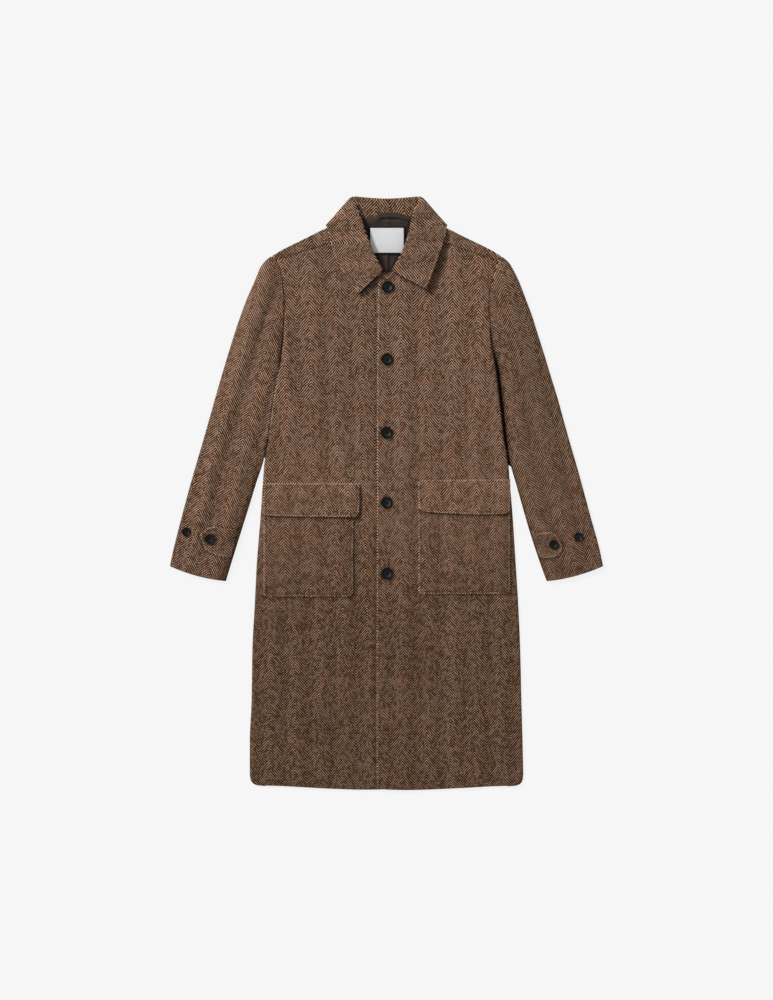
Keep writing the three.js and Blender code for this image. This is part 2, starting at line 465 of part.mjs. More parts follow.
// ---- collar ----
const COLUMNS = Object.keys(COLLAR_RIGHT[0]);
const stations = [...COLLAR_RIGHT, ...COLLAR_LEFT.slice().reverse()];
function between(rows, steps) {
  const out = [];
  const n = rows.length;
  for (let i = 0; i < n - 1; i++) for (let s = 0; s < steps; s++) {
    const t = s / steps, r = {};
    const [a, b, c, d] = [rows[Math.max(0, i - 1)], rows[i], rows[i + 1], rows[Math.min(n - 1, i + 2)]];
    for (const k of COLUMNS) {
      r[k] = 0.5 * (2 * b[k] + (c[k] - a[k]) * t + (2 * a[k] - 5 * b[k] + 4 * c[k] - d[k]) * t * t + (3 * b[k] - a[k] - 3 * c[k] + d[k]) * t * t * t);
    }
    out.push(r);
  }
  out.push({ ...rows[n - 1] });
  return out;
}
const NECK_CENTRE = { x: 0, y: 520 };
function collarSection(r) {
  const N = new THREE.Vector3(r.neck_x, r.neck_y, r.neck_z);
  const R = new THREE.Vector3(r.roll_x, r.roll_y, r.roll_z);
  const E = new THREE.Vector3(r.edge_x, r.edge_y, r.edge_z);
  const up = R.clone().sub(N).normalize(), down = E.clone().sub(R).normalize();
  const inward = new THREE.Vector3(-(E.y - R.y), E.x - R.x, 0).normalize();
  if (inward.x * (NECK_CENTRE.x - R.x) + inward.y * (NECK_CENTRE.y - R.y) < 0) inward.negate();
  const a = THREE.MathUtils.degToRad(r.turn);
  const w = inward.multiplyScalar(Math.sin(a)).add(new THREE.Vector3(0, 0, -Math.cos(a)));
  const S = R.clone().addScaledVector(up, -r.half).addScaledVector(w, r.half);
  const F = R.clone().addScaledVector(down, r.half).addScaledVector(w, -r.half);
  const C1 = S.clone().addScaledVector(up, r.half * 4 / 3), C2 = F.clone().addScaledVector(down, -r.half * 4 / 3);
  const curve = new THREE.CubicBezierCurve3(S, C1, C2, F);
  const points = [N, N.clone().lerp(S, 0.5)];
  for (const t of [0, 0.25, 0.5, 0.75, 1]) points.push(curve.getPoint(t));
  points.push(F.clone().lerp(E, 0.33), F.clone().lerp(E, 0.67), E);
  return points;
}
function collarWall() {
  const grid = between(stations, 2).map(collarSection);
  const rows = grid.length, cols = grid[0].length;
  const face = [], back = [];
  for (let i = 0; i < rows; i++) {
    face.push([]); back.push([]);
    for (let j = 0; j < cols; j++) {
      const du = grid[Math.min(rows - 1, i + 1)][j].clone().sub(grid[Math.max(0, i - 1)][j]);
      const dv = grid[i][Math.min(cols - 1, j + 1)].clone().sub(grid[i][Math.max(0, j - 1)]);
      const n = du.cross(dv).normalize().multiplyScalar(COLLAR_WALL / 2);
      face[i].push(grid[i][j].clone().add(n).toArray());
      back[i].push(grid[i][j].clone().sub(n).toArray());
    }
  }
  return wall(face, back);
}

// ---- pieces that lie on a panel: made from its points, moved out ----
function patch(rows, cols, place, zOf, gap, thickness) {
  const face = [], back = [];
  for (let i = 0; i < rows.length; i++) {
    face.push([]); back.push([]);
    for (let j = 0; j < cols.length; j++) {
      const [x, y] = place(rows[i], cols[j]);
      const z = zOf(x, y) + gap(rows[i], cols[j], x, y);
      face[i].push([x, y, z + thickness]);
      back[i].push([x, y, z]);
    }
  }
  return wall(face, back);
}
const spread = (n) => Array.from({ length: n + 1 }, (_, i) => i / n);
const topOf = { right: (x, y) => rightFrontZ(x, y) + WOOL, left: (x, y) => leftFrontZ(x, y) + WOOL };

function pocketBag(p) {
  const w = p.right - p.left, h = p.top - p.bottom, corner = 8;
  return patch([0, 0.03, 0.1, 0.4, 0.7, 1], [0, 0.03, 0.12, 0.5, 0.88, 0.97, 1],
    (u, v) => {
      let x = p.left + w * v;
      const y = p.bottom + h * u + (v < 0.01 || v > 0.99 ? corner * Math.max(0, 1 - u / 0.1) * 0.35 : 0);
      if (u < 0.01) x = p.left + corner * 0.35 + (w - corner * 0.7) * v;
      return [x, y];
    },
    topOf[p.side], () => SEAM + 0.3, TRIM_WALL);
}
function pocketFlap(p) {
  return patch([0, 0.04, 0.12, 0.45, 0.8, 0.9, 1], [0, 0.03, 0.1, 0.35, 0.65, 0.9, 0.97, 1],
    (u, v) => {
      const top = lerp(p.topLeft, p.topRight, v);
      const bottom = lerp(p.botLeft, p.botRight, v) - p.bow * 4 * v * (1 - v);
      const inset = u < 0.01 ? 3.5 : u < 0.05 ? 1 : 0;
      const x = lerp(p.left + inset, p.right - inset, v);
      return [x, lerp(bottom, top, u) + (u < 0.05 && (v < 0.01 || v > 0.99) ? 2 : 0)];
    },
    topOf[p.side], (u) => SEAM + 0.3 + (TRIM_WALL + 0.7) * (1 - ramp(u, 0.8, 1)), TRIM_WALL);
}
function liningWall() {
  const face = [], back = [];
  for (const r of LINING) {
    const row = [], under = [];
    for (const v of [0, 0.12, 0.3, 0.44, 0.5, 0.56, 0.7, 0.88, 1]) {
      const x = lerp(r.left, r.right, v);
      const z = WOOL + AIR + neckLift(r.y);
      // the centre pleat: its fold stands a little above the other side
      row.push([x, r.y, z + LINING_WALL + (v === 0.5 ? 0.7 : 0)]);
      under.push([x, r.y, z]);
    }
    face.push(row);
    back.push(under);
  }
  return wall(face, back);
}
const liningTop = (x, y) => WOOL + AIR + LINING_WALL + 0.7 + neckLift(y);
function labelWall() {
  return patch([0, 0.25, 0.5, 0.75, 1], [0, 0.25, 0.5, 0.75, 1],
    (u, v) => [lerp(LABEL.left, LABEL.right, v), lerp(LABEL.bottom, LABEL.top, u)],
    liningTop, () => SEAM + 0.1, LINING_WALL);
}
// height of the collar stand's inner face behind the neck seam
const standTop = (y) => lerp(8.9, 8.0, ramp(y, 543, 590));
function loopWall() {
  const face = [], back = [];
  LOOP.forEach((p, i) => {
    const a = LOOP[Math.max(0, i - 1)], b = LOOP[Math.min(LOOP.length - 1, i + 1)];
    const dx = b.x - a.x, dy = b.y - a.y, l = Math.hypot(dx, dy);
    const nx = -dy / l, ny = dx / l;
    const top = [], bot = [];
    for (const s of [-1, 0, 1]) {
      const z = standTop(p.y) + 0.5 + p.rise;
      top.push([p.x + nx * s * p.half, p.y + ny * s * p.half, z + LOOP_WALL]);
      bot.push([p.x + nx * s * p.half, p.y + ny * s * p.half, z]);
    }
    face.push(top);
    back.push(bot);
  });
  return wall(face, back);
}
function tab(t) {
  const s = new THREE.Shape();
  s.moveTo(t.root_x, t.root_y);
  s.lineTo(t.shoulder_x, t.shoulder_y);
  s.lineTo(t.tip_x, t.tip_y);
  s.lineTo(t.heel_x, t.heel_y);
  s.lineTo(t.under_x, t.under_y);
  s.lineTo(t.base_x, t.base_y);
  s.closePath();
  return new THREE.ExtrudeGeometry(s, { depth: TRIM_WALL, bevelEnabled: false });
}
// a button with a raised rim, a dished middle and four holes
function button(radius, height) {
  const profile = [
    [0, 0], [radius * 0.62, 0], [radius * 0.95, height * 0.3], [radius, height * 0.6], [radius * 0.95, height * 0.92],
    [radius * 0.85, height], [radius * 0.72, height * 0.92], [radius * 0.62, height * 0.66], [0, height * 0.6],
  ].map(([x, y]) => new THREE.Vector2(x, y));
  const disc = new THREE.LatheGeometry(profile, 18);
  disc.rotateX(Math.PI / 2);
  let solid = toSolid(disc);
  const hole = radius * 0.1, place = radius * 0.2;
  for (const [sx, sy] of [[1, 1], [1, -1], [-1, 1], [-1, -1]]) {
    const drill = new THREE.CylinderGeometry(hole, hole, height * 3, 6);
    drill.rotateX(Math.PI / 2);
    drill.translate(sx * place, sy * place, 0);
    solid = solid.subtract(toSolid(drill));
  }
  return toGeometry(solid);
}

// ---- materials ----
const wool = new THREE.MeshStandardMaterial({ color: 0x8a6a50, roughness: 0.92, metalness: 0 });
const satin = new THREE.MeshStandardMaterial({ color: 0x463c39, roughness: 0.5, metalness: 0 });
const tape = new THREE.MeshStandardMaterial({ color: 0xdee2e4, roughness: 0.7, metalness: 0 });
const plastic = new THREE.MeshStandardMaterial({ color: 0x232628, roughness: 0.35, metalness: 0 });

// ---- the coat ----
const coat = new THREE.Group();
function add(name, geometry, material, x = 0, y = 0, z = 0) {
  const g = geometry.index ? geometry.toNonIndexed() : geometry;
  g.computeVertexNormals();
  const mesh = new THREE.Mesh(g, material);
  mesh.name = name;
  mesh.position.set(x, y, z);
  coat.add(mesh);
  return mesh;
}
add('back', toGeometry(backSolid), wool);
add('front_right', frontRight, wool);
add('front_left', frontLeft, wool);
add('sleeve_right', sleeve(SLEEVE_RIGHT), wool);
add('sleeve_left', sleeve(SLEEVE_LEFT), wool);
add('collar', collarWall(), wool);
for (const p of POCKETS) add(`pocket_${p.side}`, pocketBag(p), wool);
for (const p of FLAPS) add(`flap_${p.side}`, pocketFlap(p), wool);
add('lining', liningWall(), satin);
add('hanger_loop', loopWall(), satin);
add('neck_label', labelWall(), tape);
const sleeveTop = SLEEVE_RIGHT[SLEEVE_RIGHT.length - 1].height + 0.2;
for (const t of TABS) add(`tab_${t.side}`, tab(t), wool, 0, 0, sleeveTop + 0.8);
const big = button(BUTTON_R, BUTTON_H), small = button(CUFF_BUTTON_R, CUFF_BUTTON_H);
FRONT_BUTTONS.forEach((b, i) => add(`button_front_${i + 1}`, big.clone(), plastic, b.x, b.y, leftFrontZ(b.x, b.y) + WOOL + SEAM));
for (const b of CUFF_BUTTONS) add(b.name, small.clone(), plastic, b.x, b.y, sleeveTop + (b.onTab ? 0.8 + TRIM_WALL + SEAM : 0.9));
coat.position.set(0, CENTRE_Y, 0);

export default coat;
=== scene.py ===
# A herringbone wool coat laid flat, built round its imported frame.
# Tables are in millimetres, in the frame of the CAD part; meshes are made in metres.
# Sides are the wearer's: the wearer's right is at -X.
import math

import bmesh
import bpy
import numpy as np
from mathutils import Matrix, Vector


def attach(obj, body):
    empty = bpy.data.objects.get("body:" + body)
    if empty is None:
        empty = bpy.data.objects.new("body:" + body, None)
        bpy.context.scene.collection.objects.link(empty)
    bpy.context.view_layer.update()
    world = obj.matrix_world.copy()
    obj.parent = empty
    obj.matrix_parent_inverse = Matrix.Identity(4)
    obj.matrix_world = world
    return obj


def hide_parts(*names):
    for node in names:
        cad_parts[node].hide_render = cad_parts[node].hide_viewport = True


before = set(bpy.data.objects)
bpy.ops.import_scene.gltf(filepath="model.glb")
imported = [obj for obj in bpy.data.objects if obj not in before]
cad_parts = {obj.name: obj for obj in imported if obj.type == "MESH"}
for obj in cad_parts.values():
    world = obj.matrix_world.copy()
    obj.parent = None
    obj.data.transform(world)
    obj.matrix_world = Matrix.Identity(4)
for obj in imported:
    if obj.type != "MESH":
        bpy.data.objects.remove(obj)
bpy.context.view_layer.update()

# ---- sizes ----
WOOL = 2.8            # wall of the body cloth
SLEEVE_WALL = 2.6
COLLAR_WALL = 2.4
TRIM_WALL = 2.2       # wall of pockets, flaps and tabs
LINING_WALL = 1.0
LOOP_WALL = 1.6
AIR = 0.8             # room between two layers that lie on each other
LAP_RISE, LAP_FROM, LAP_TO = 3.2, 30.0, 74.0
NECK_RISE, NECK_FROM, NECK_TO = 3.2, 460.0, 506.0
HEM_BOW, CUFF_BOW = 6.8, 5.0
CENTRE_Y = -0.6
BUTTON_R, BUTTON_H = 11.6, 4.2
CUFF_BUTTON_R, CUFF_BUTTON_H = 9.0, 3.6
STEP = 4.4            # size of a mesh square on the large pieces
# offsets from an edge where rows of points follow it, for the turned edge and the stitched line inside it
NEAR = [0, 0.2, 0.6, 1.2, 2.0, 3.0, 4.2, 5.2, 6.0, 6.8, 7.8, 9.6]

# painted light falloff: how much darker the cloth is painted down the coat: y, share
BODY_PAINTED_FALLOFF = [(-600, 0.63), (-480, 0.655), (-270, 0.675), (-213, 0.70), (-120, 0.80), (-20, 0.925), (90, 0.93), (200, 0.965), (330, 1.0)]
SLEEVE_RIGHT_PAINTED_FALLOFF = [(-180, 0.84), (-60, 0.88), (60, 0.93), (200, 0.96), (330, 1.0)]
SLEEVE_LEFT_PAINTED_FALLOFF = [(-180, 0.74), (0, 0.79), (150, 0.80), (300, 0.83), (400, 0.90), (470, 0.98)]
LEAF_LIFT_RIGHT = [3.6, 3.2, 1.6, 0.4]          # how far the leaves' free edges stand up
LEAF_LIFT_LEFT = [3.4, 3.4, 3.2, 2.6, 1.6, 0.6]

# light
WORLD, KEY, KEY_ANGLE, KEY_ELEVATION, KEY_AZIMUTH, FLOOR_GLOW = 0.365, 2.28, 8.0, 34.0, 142.0, 0.846

# wearer's right front, a row for each section from hem to shoulder seam: side seam or armhole, then front edge or neckline: side_x, side_y, edge_x, edge_y
PANEL_RIGHT = [
    (-246, -583.2, 21, -589.6),
    (-262.4, -581.2, 21, -585.4),
    (-267.4, -578.4, 21, -581.6),
    (-271, -572.6, 21, -575.6),
    (-273, -560, 21, -562),
    (-273, -493, 21, -495),
    (-269.4, -413, 21, -415),
    (-267.8, -313, 21, -313),
    (-263, -221, 21, -221),
    (-259, -141, 21, -141),
    (-251.4, -45, 21, -45),
    (-247, 19, 21, 19),
    (-243, 67, 21, 67),
    (-236, 107, 21, 111),
    (-226, 187, 21, 191),
    (-214.4, 251, 21, 263),
    (-206.4, 307, 21, 327),
    (-203.8, 351, 21, 385),
    (-204, 385, 21, 432),
    (-205.4, 407, -4, 434),
    (-207.8, 425, -30, 451),
    (-211, 443, -53, 476),
    (-215.4, 455, -70, 495),
    (-220.4, 466, -78, 510),
]
# wearer's left front, which laps over the right one, in the same columns: side_x, side_y, edge_x, edge_y
PANEL_LEFT = [
    (247, -583.8, -18.4, -590),
    (261, -582.3, -18.7, -585.6),
    (268.2, -579, -18.9, -581.8),
    (271.6, -573, -19, -576),
    (273, -560, -19.4, -562),
    (271.6, -493, -19.8, -495),
    (269.4, -413, -19.8, -415),
    (267, -313, -19.6, -313),
    (263, -221, -19.4, -221),
    (258, -141, -19.2, -141),
    (251.8, -45, -19, -45),
    (246.4, 19, -19, 19),
    (242.6, 67, -19, 67),
    (235.8, 107, -18.8, 111),
    (226.4, 187, -18.6, 191),
    (218.9, 251, -18.2, 263),
    (210.2, 301, -17.8, 323),
    (207, 343, -17.4, 381),
    (205, 371, -15, 429),
    (205.8, 393, 0, 439.8),
    (207.6, 411, 19, 445.8),
    (212.2, 429, 40, 463),
    (217.4, 447, 59, 485),
    (222.2, 465, 78, 513),
]
# right shoulder: share of the forward seam from armhole to neck, and the fold where the back turns over: share, fold_x, fold_y
SHOULDER_RIGHT = [
    (0, -230, 473.4),
    (0.09, -215, 483),
    (0.23, -193, 494.4),
    (0.38, -171, 505),
    (0.55, -147, 517),
    (0.71, -125, 527.8),
    (0.85, -107, 534.4),
    (0.94, -93, 541.4),
    (1, -82, 548),
]
# left shoulder, in the same columns: share, fold_x, fold_y
SHOULDER_LEFT = [
    (0, 230.6, 473),
    (0.09, 215, 483),
    (0.23, 193, 494.4),
    (0.38, 171, 505),
    (0.54, 146, 517),
    (0.69, 125, 527.8),
    (0.84, 107, 534.4),
    (0.93, 93, 541.4),
    (1, 82, 548),
]
# top of the back, from the right armhole along the shoulder and the neck seam to the centre: x, y
BACK_TOP_RIGHT = [
    (-223.4, 470.6),
    (-214, 479),
    (-170, 501),
    (-124, 523.8),
    (-92, 537.8),
    (-80.4, 543.8),
    (-41, 543.6),
    (0, 543),
]
# the same from the left armhole: x, y
BACK_TOP_LEFT = [
    (223.6, 470.6),
    (214, 479),
    (170, 501),
    (124, 523.8),
    (92, 537.8),
    (80.4, 543.8),
    (41, 543.6),
]
# right sleeve, a row for each section from cap to cuff: inner edge (armhole, then underarm seam), outer fold, height, crown, and how far the inner edge closes: in_x, in_y, out_x, out_y, height, crown, round
SLEEVE_RIGHT = [
    (-220.4, 466, -231.4, 473.8, 7.2, 0, 0),
    (-215.4, 455, -242, 465, 7.6, 1, 0),
    (-211, 443, -252, 452, 7.8, 2, 0),
    (-207.8, 425, -260, 433, 8, 3, 0),
    (-205.4, 407, -268.4, 413, 8, 3.5, 0),
    (-204, 385, -277.4, 393, 8, 4, 0),
    (-203.8, 351, -287.4, 367, 8, 4, 0.1),
    (-206.4, 307, -299.4, 333, 8, 3.5, 0.3),
    (-214.4, 251, -317, 277, 8.4, 2.5, 0.9),
    (-227, 187, -335.4, 215, 8.6, 2, 1),
    (-237, 107, -357, 139, 8.6, 1.5, 1),
    (-243.8, 67, -368.4, 99, 8.6, 1.2, 1),
    (-258, 23, -380.6, 58, 8.6, 1, 1),
    (-269, -13, -390.6, 23, 8.6, 1, 1),
    (-289, -77, -408.4, -43, 8.6, 0.6, 1),
    (-309, -141, -425.2, -109, 8.6, 0, 1),
    (-319.4, -175.4, -433, -145, 8.6, 0, 1),
]
# left sleeve, in the same columns: in_x, in_y, out_x, out_y, height, crown, round
SLEEVE_LEFT = [
    (222.2, 465, 231.4, 473.1, 7.2, 0, 0),
    (217.4, 447, 244.6, 461.4, 7.6, 1, 0),
    (212.2, 429, 254, 446, 7.8, 2, 0),
    (207.6, 411, 263, 428, 8, 3, 0),
    (205.8, 393, 270, 411, 8, 3.5, 0),
    (205, 371, 279, 387, 8, 4, 0),
    (207, 343, 289.6, 359, 8, 4, 0.1),
    (210.2, 301, 303, 317, 8, 3.5, 0.3),
    (223.8, 249, 316.2, 275, 8.4, 2.5, 0.9),
    (229.8, 203, 328, 236, 8.6, 2, 1),
    (235.4, 151, 343, 187, 8.6, 1.6, 1),
    (240.4, 105, 355, 143, 8.6, 1.4, 1),
    (245.4, 63, 368, 97, 8.6, 1.2, 1),
    (259.6, 11, 382.6, 47, 8.6, 1, 1),
    (286, -81, 407, -43, 8.6, 0.6, 1),
    (306, -141, 425, -108, 8.6, 0, 1),
    (318.6, -175.6, 433, -145, 8.6, 0, 1),
]
# collar, a row for each section from the right point to centre back: neck seam, roll line, outer edge, half the roll's width, and how far the section has turned over: neck_x, neck_y, neck_z, roll_x, roll_y, roll_z, edge_x, edge_y, edge_z, half, turn
COLLAR_RIGHT = [
    (-16, 433, 11.6, -7.8, 443.8, 14.6, -55.8, 399, 12.4, 2, 0),
    (-26, 445, 11, -13, 454.6, 17, -63, 406.6, 11, 2.4, 0),
    (-43.8, 464, 9.4, -25, 478, 19.5, -81, 435, 10.2, 3, 0),
    (-61, 486, 10.8, -37.8, 509, 21, -98.6, 463, 11.2, 3, 5),
    (-71.4, 507, 11.8, -46.6, 535, 20.4, -109.8, 495, 12.2, 3, 10),
    (-75.4, 526, 11.8, -54.6, 558.2, 18.4, -116.2, 519, 12.6, 3, 25),
    (-76.2, 540, 11.4, -61.8, 577, 15.8, -119.8, 531.4, 11.6, 3, 50),
    (-74.6, 545.4, 9.4, -69.8, 587.4, 11, -121, 535, 6.4, 2.8, 90),
    (-67.8, 546.2, 8.2, -63, 591.8, 6.8, -115.8, 532.2, 1.7, 2.5, 140),
    (-55, 545.2, 7.8, -50, 591.2, 5, -99, 522.6, 1.3, 2.4, 180),
    (-31, 544.2, 7.6, -28.2, 589.4, 4, -57, 515, 1.3, 2.4, 180),
    (0, 543.8, 7.6, 0, 588.2, 3.9, 0, 511.8, 1.3, 2.4, 180),
]
# collar, from the left point to near centre back: neck_x, neck_y, neck_z, roll_x, roll_y, roll_z, edge_x, edge_y, edge_z, half, turn
COLLAR_LEFT = [
    (21.8, 441, 11.6, 10.6, 444.2, 15, 79, 407, 16.6, 2, 0),
    (28.2, 450, 11.6, 17.8, 455.8, 18, 83.4, 419, 16, 2.4, 0),
    (46.2, 472, 10.6, 31.4, 481.8, 20.4, 97, 453, 15.6, 3, 0),
    (60.2, 491.8, 11.4, 42.2, 510.6, 21.6, 107.4, 484, 15.8, 3, 5),
    (69.8, 509.8, 11.8, 49.4, 540.2, 20.6, 115.8, 507, 15.2, 3, 10),
    (74.2, 527, 11.8, 55, 563.8, 18.2, 119, 521.8, 13.8, 3, 25),
    (75.8, 540, 11.4, 61.4, 578.2, 15.6, 120.2, 531.4, 11.8, 3, 50),
    (74.6, 545.4, 9.4, 69.8, 587.4, 11, 121, 535, 6.4, 2.8, 90),
    (67.8, 546.2, 8.2, 63, 591.8, 6.8, 115.8, 532.2, 1.7, 2.5, 140),
    (55, 545.2, 7.8, 50, 591.2, 5, 99, 522.6, 1.3, 2.4, 180),
    (31, 544.2, 7.6, 28.2, 589.4, 4, 57, 515, 1.3, 2.4, 180),
]
# lining that shows in the neck: y, left, right
LINING = [
    (540.6, -74, 74.2),
    (525, -74, 74.6),
    (509, -73, 71),
    (495, -66, 61),
    (477, -50, 48),
    (461, -35, 33),
    (450, -25, 19),
    (443, -13, 3),
]

# flaps and pockets: wearer's side, corners, how far the lower edge bows down
POCKETS = [
    ("right", -245.5, -66, 3, -206),
    ("left", 64, 247, 8, -201),
]
FLAPS = [
    # side, left, right, top at left, top at right, bottom at left, bottom at right, bow
    ("right", -245.2, -54, 20.5, 20.5, -44, -47, 1),
    ("left", 63.5, 247, 26.5, 28.5, -35, -40.5, 3.5),
]
FRONT_BUTTONS = [(2.4, 412.6), (0.8, 268), (-0.2, 122), (0, -18), (1, -159)]
TABS = [
    ("right", [(-298, -72), (-351, -65), (-373.4, -80), (-362, -114), (-335, -125), (-309.5, -128)]),
    ("left", [(290.6, -79), (335, -76.5), (352.6, -105), (345, -125), (325, -128.5), (307.4, -130)]),
]
CUFF_BUTTONS = [
    ("button_tab_right", -352.4, -90.2, 1),
    ("button_cuff_right", -399.4, -76.4, 0),
    ("button_tab_left", 333, -101.4, 1),
    ("button_cuff_left", 383, -87, 0),
]
LABEL = (-32, 34, 529.5, 481)          # left, right, top, bottom
LABEL_BORDER = 3.6
# hanger loop: x, y, half width, lift off the stand
LOOP = [
    (-23, 544.0, 4.4, 0), (-18.5, 549.6, 5.0, 0.5), (-12, 554.4, 5.2, 1.4), (0, 555.4, 5.3, 2.0),
    (14, 555.4, 5.3, 2.0), (24, 554.8, 5.2, 1.4), (31, 551.4, 4.8, 0.6), (40, 550, 4.4, 0.3), (51, 549.4, 4, 0),
]
LINING_TOP = (549.4, -50, 53)          # the lining's upper edge, sewn over the foot of the stand

# ---- creases: points along the crease, reach to each side, height ----
# broad places of painted light and shade: x, y, reach along x and y, share
PAINTED_LIGHT_AND_SHADE = [
    (-147, -238, 30, 26, -0.08), (-129, -457, 70, 62, -0.07), (-60, -132, 17, 80, -0.10), (-41, 243, 13, 220, -0.07),
    (-191, 355, 26, 42, 0.06), (110, 280, 95, 160, -0.05), (-112, 285, 80, 150, -0.13), (84, -82, 15, 62, -0.08), (-203, -119, 35, 50, 0.05),
    (-205, -470, 26, 70, 0.05), (150, -420, 50, 120, 0.03), (60, -330, 22, 90, -0.05), (215, -300, 26, 80, -0.05),
]
SWELLS = [
    ([(-185, -300), (-175, -540)], 45, 1.4),
    ([(-88, -180), (-94, -480)], 38, 1.1),
    ([(165, -260), (172, -540)], 42, 1.4),
    ([(-165, 240), (-132, 60)], 40, 1.2),
    ([(140, 260), (160, 70)], 42, 1.2),
]
FRONT_RIGHT_CREASES = [
    ([(-201, 352), (-197, 300), (-198, 225)], 8, 3.0),
    ([(-209, 318), (-212, 262)], 5, -1.4),
    ([(-188, 330), (-160, 395), (-120, 452)], 14, 0.8),
    ([(-150, 300), (-146, 215), (-152, 140)], 22, 1.2),
    ([(-104, 250), (-98, 150)], 15, 0.8),
    ([(-196, 190), (-150, 110), (-90, 70)], 13, 0.9),
    ([(-228, 120), (-190, 60)], 12, 0.9),
    ([(-60, 330), (-56, 210), (-62, 60)], 16, 0.8),
    ([(-222, -262), (-226, -400), (-236, -560)], 22, 1.3),
    ([(-122, -232), (-118, -390), (-128, -572)], 26, 1.2),
    ([(-60, -240), (-52, -420), (-58, -580)], 15, 0.9),
    ([(-190, -470), (-150, -520), (-96, -535)], 13, 0.7),
    ([(-244, -330), (-214, -362)], 10, 0.8),
    ([(-40, -90), (-44, -215)], 10, 0.6),
]
FRONT_LEFT_CREASES = [
    ([(150, 392), (158, 300), (152, 205)], 22, 1.2),
    ([(74, 340), (78, 240), (72, 120)], 14, 0.9),
    ([(196, 318), (206, 230), (214, 150)], 16, 1.1),
    ([(108, 430), (132, 372)], 14, 0.8),
    ([(222, 120), (180, 62)], 13, 0.9),
    ([(110, 200), (116, 70)], 17, 0.8),
    ([(28, 380), (27, 200), (30, 30)], 7, 0.5),
    ([(66, -235), (62, -400), (70, -584)], 20, 1.0),
    ([(150, -226), (146, -390), (160, -586)], 24, 1.3),
    ([(228, -255), (236, -400), (248, -560)], 18, 1.1),
    ([(112, -440), (170, -486), (236, -500)], 12, 0.6),
    ([(100, -560), (108, -592)], 9, 0.7),
    ([(28, -250), (30, -560)], 9, 0.5),
    ([(2, -512), (2.2, -515)], 5.5, -1.3),
]
SLEEVE_RIGHT_CREASES = [
    ([(-240, 410), (-262, 330), (-286, 262), (-306, 190), (-331, 110), (-352, 30), (-370, -50)], 19, 3.4),
    ([(-232, 372), (-250, 322), (-270, 258), (-290, 200), (-312, 110), (-330, 40), (-346, -30)], 14, -1.8),
    ([(-236, 226), (-256, 150), (-274, 84), (-294, 12), (-312, -52)], 12, 2.0),
    ([(-292, 312), (-316, 236), (-338, 160)], 8, 1.0),
    ([(-216, 330), (-218, 268), (-228, 214)], 7, 1.3),
    ([(-342, -20), (-366, -48), (-400, -46)], 8, 1.0),
    ([(-326, 92), (-356, 34)], 7, 0.8),
    ([(-330, -140), (-372, -136), (-404, -120)], 7, 0.7),
]
SLEEVE_LEFT_CREASES = [
    ([(222, 424), (238, 340), (254, 236), (276, 140)], 14, 2.4),
    ([(262, 404), (276, 300), (292, 214), (306, 120)], 11, -1.3),
    ([(276, 366), (296, 296), (312, 214)], 9, 1.4),
    ([(306, 120), (326, 66), (352, -22)], 14, 2.0),
    ([(262, 106), (276, 30), (296, -36)], 11, 1.3),
    ([(330, 150), (348, 92)], 8, 0.9),
    ([(372, 30), (392, -30)], 8, 0.9),
    ([(318, -140), (360, -144), (404, -128)], 7, 0.7),
]
BACK_CREASES = [
    ([(-150, 330), (-146, 120)], 26, 0.5),
    ([(140, 300), (150, 60)], 24, 0.5),
    ([(-120, -200), (-128, -500)], 28, 0.5),
    ([(60, -260), (66, -540)], 26, 0.5),
    ([(190, -300), (200, -520)], 22, 0.4),
]
POCKET_CREASES = {
    "right": [([(-212, -60), (-206, -190)], 17, 1.0), ([(-150, -58), (-146, -186)], 20, 1.1), ([(-98, -60), (-92, -150)], 14, 0.8),
              ([(-232, -188), (-170, -196)], 8, 0.6)],
    "left": [([(96, -50), (100, -180)], 16, 0.9), ([(150, -52), (156, -186)], 20, 1.0), ([(214, -52), (210, -170)], 17, 1.0),
             ([(110, -190), (170, -186)], 8, 0.6)],
}
FLAP_CREASES = {
    "right": [([(-216, 4), (-214, -34)], 14, 0.9), ([(-178, 8), (-180, -36)], 13, 0.7), ([(-112, 4), (-108, -38)], 17, 0.9), ([(-72, 0), (-70, -30)], 9, 0.6)],
    "left": [([(92, 12), (90, -28)], 13, 0.8), ([(140, 8), (142, -32)], 16, 0.8), ([(196, 10), (200, -34)], 15, 0.9), ([(232, 6), (230, -26)], 9, 0.5)],
}
COLLAR_CREASES = [
    ([(-70, 470), (-84, 440)], 9, 0.8), ([(-96, 505), (-84, 548)], 9, 0.7), ([(84, 486), (98, 462)], 9, 0.8), ([(92, 530), (74, 566)], 9, 0.6),
]


# ---- numbers ----
def ramp(v, a, b):
    return np.clip((np.asarray(v, float) - a) / (b - a), 0, 1)


def smooth(v, a, b):
    t = ramp(v, a, b)
    return t * t * (3 - 2 * t)


def pchip(y, q):
    """Smooth values between the rows of a table, with no overshoot; q counts rows."""
    y = np.asarray(y, float)
    if y.ndim == 1:
        y = y[:, None]
    d = np.diff(y, axis=0)
    m = np.zeros_like(y)
    same = d[:-1] * d[1:] > 0
    a, b = np.where(same, d[:-1], 1), np.where(same, d[1:], 1)
    m[1:-1] = np.where(same, 2 * a * b / (a + b), 0)
    m[0], m[-1] = d[0], d[-1]
    q = np.asarray(q, float)
    k = np.clip(np.floor(q).astype(int), 0, len(y) - 2)
    t = (q - k)[..., None]
    return ((1 + 2 * t) * (1 - t) ** 2 * y[k] + t * (1 - t) ** 2 * m[k]
            + t * t * (3 - 2 * t) * y[k + 1] + t * t * (t - 1) * m[k + 1])


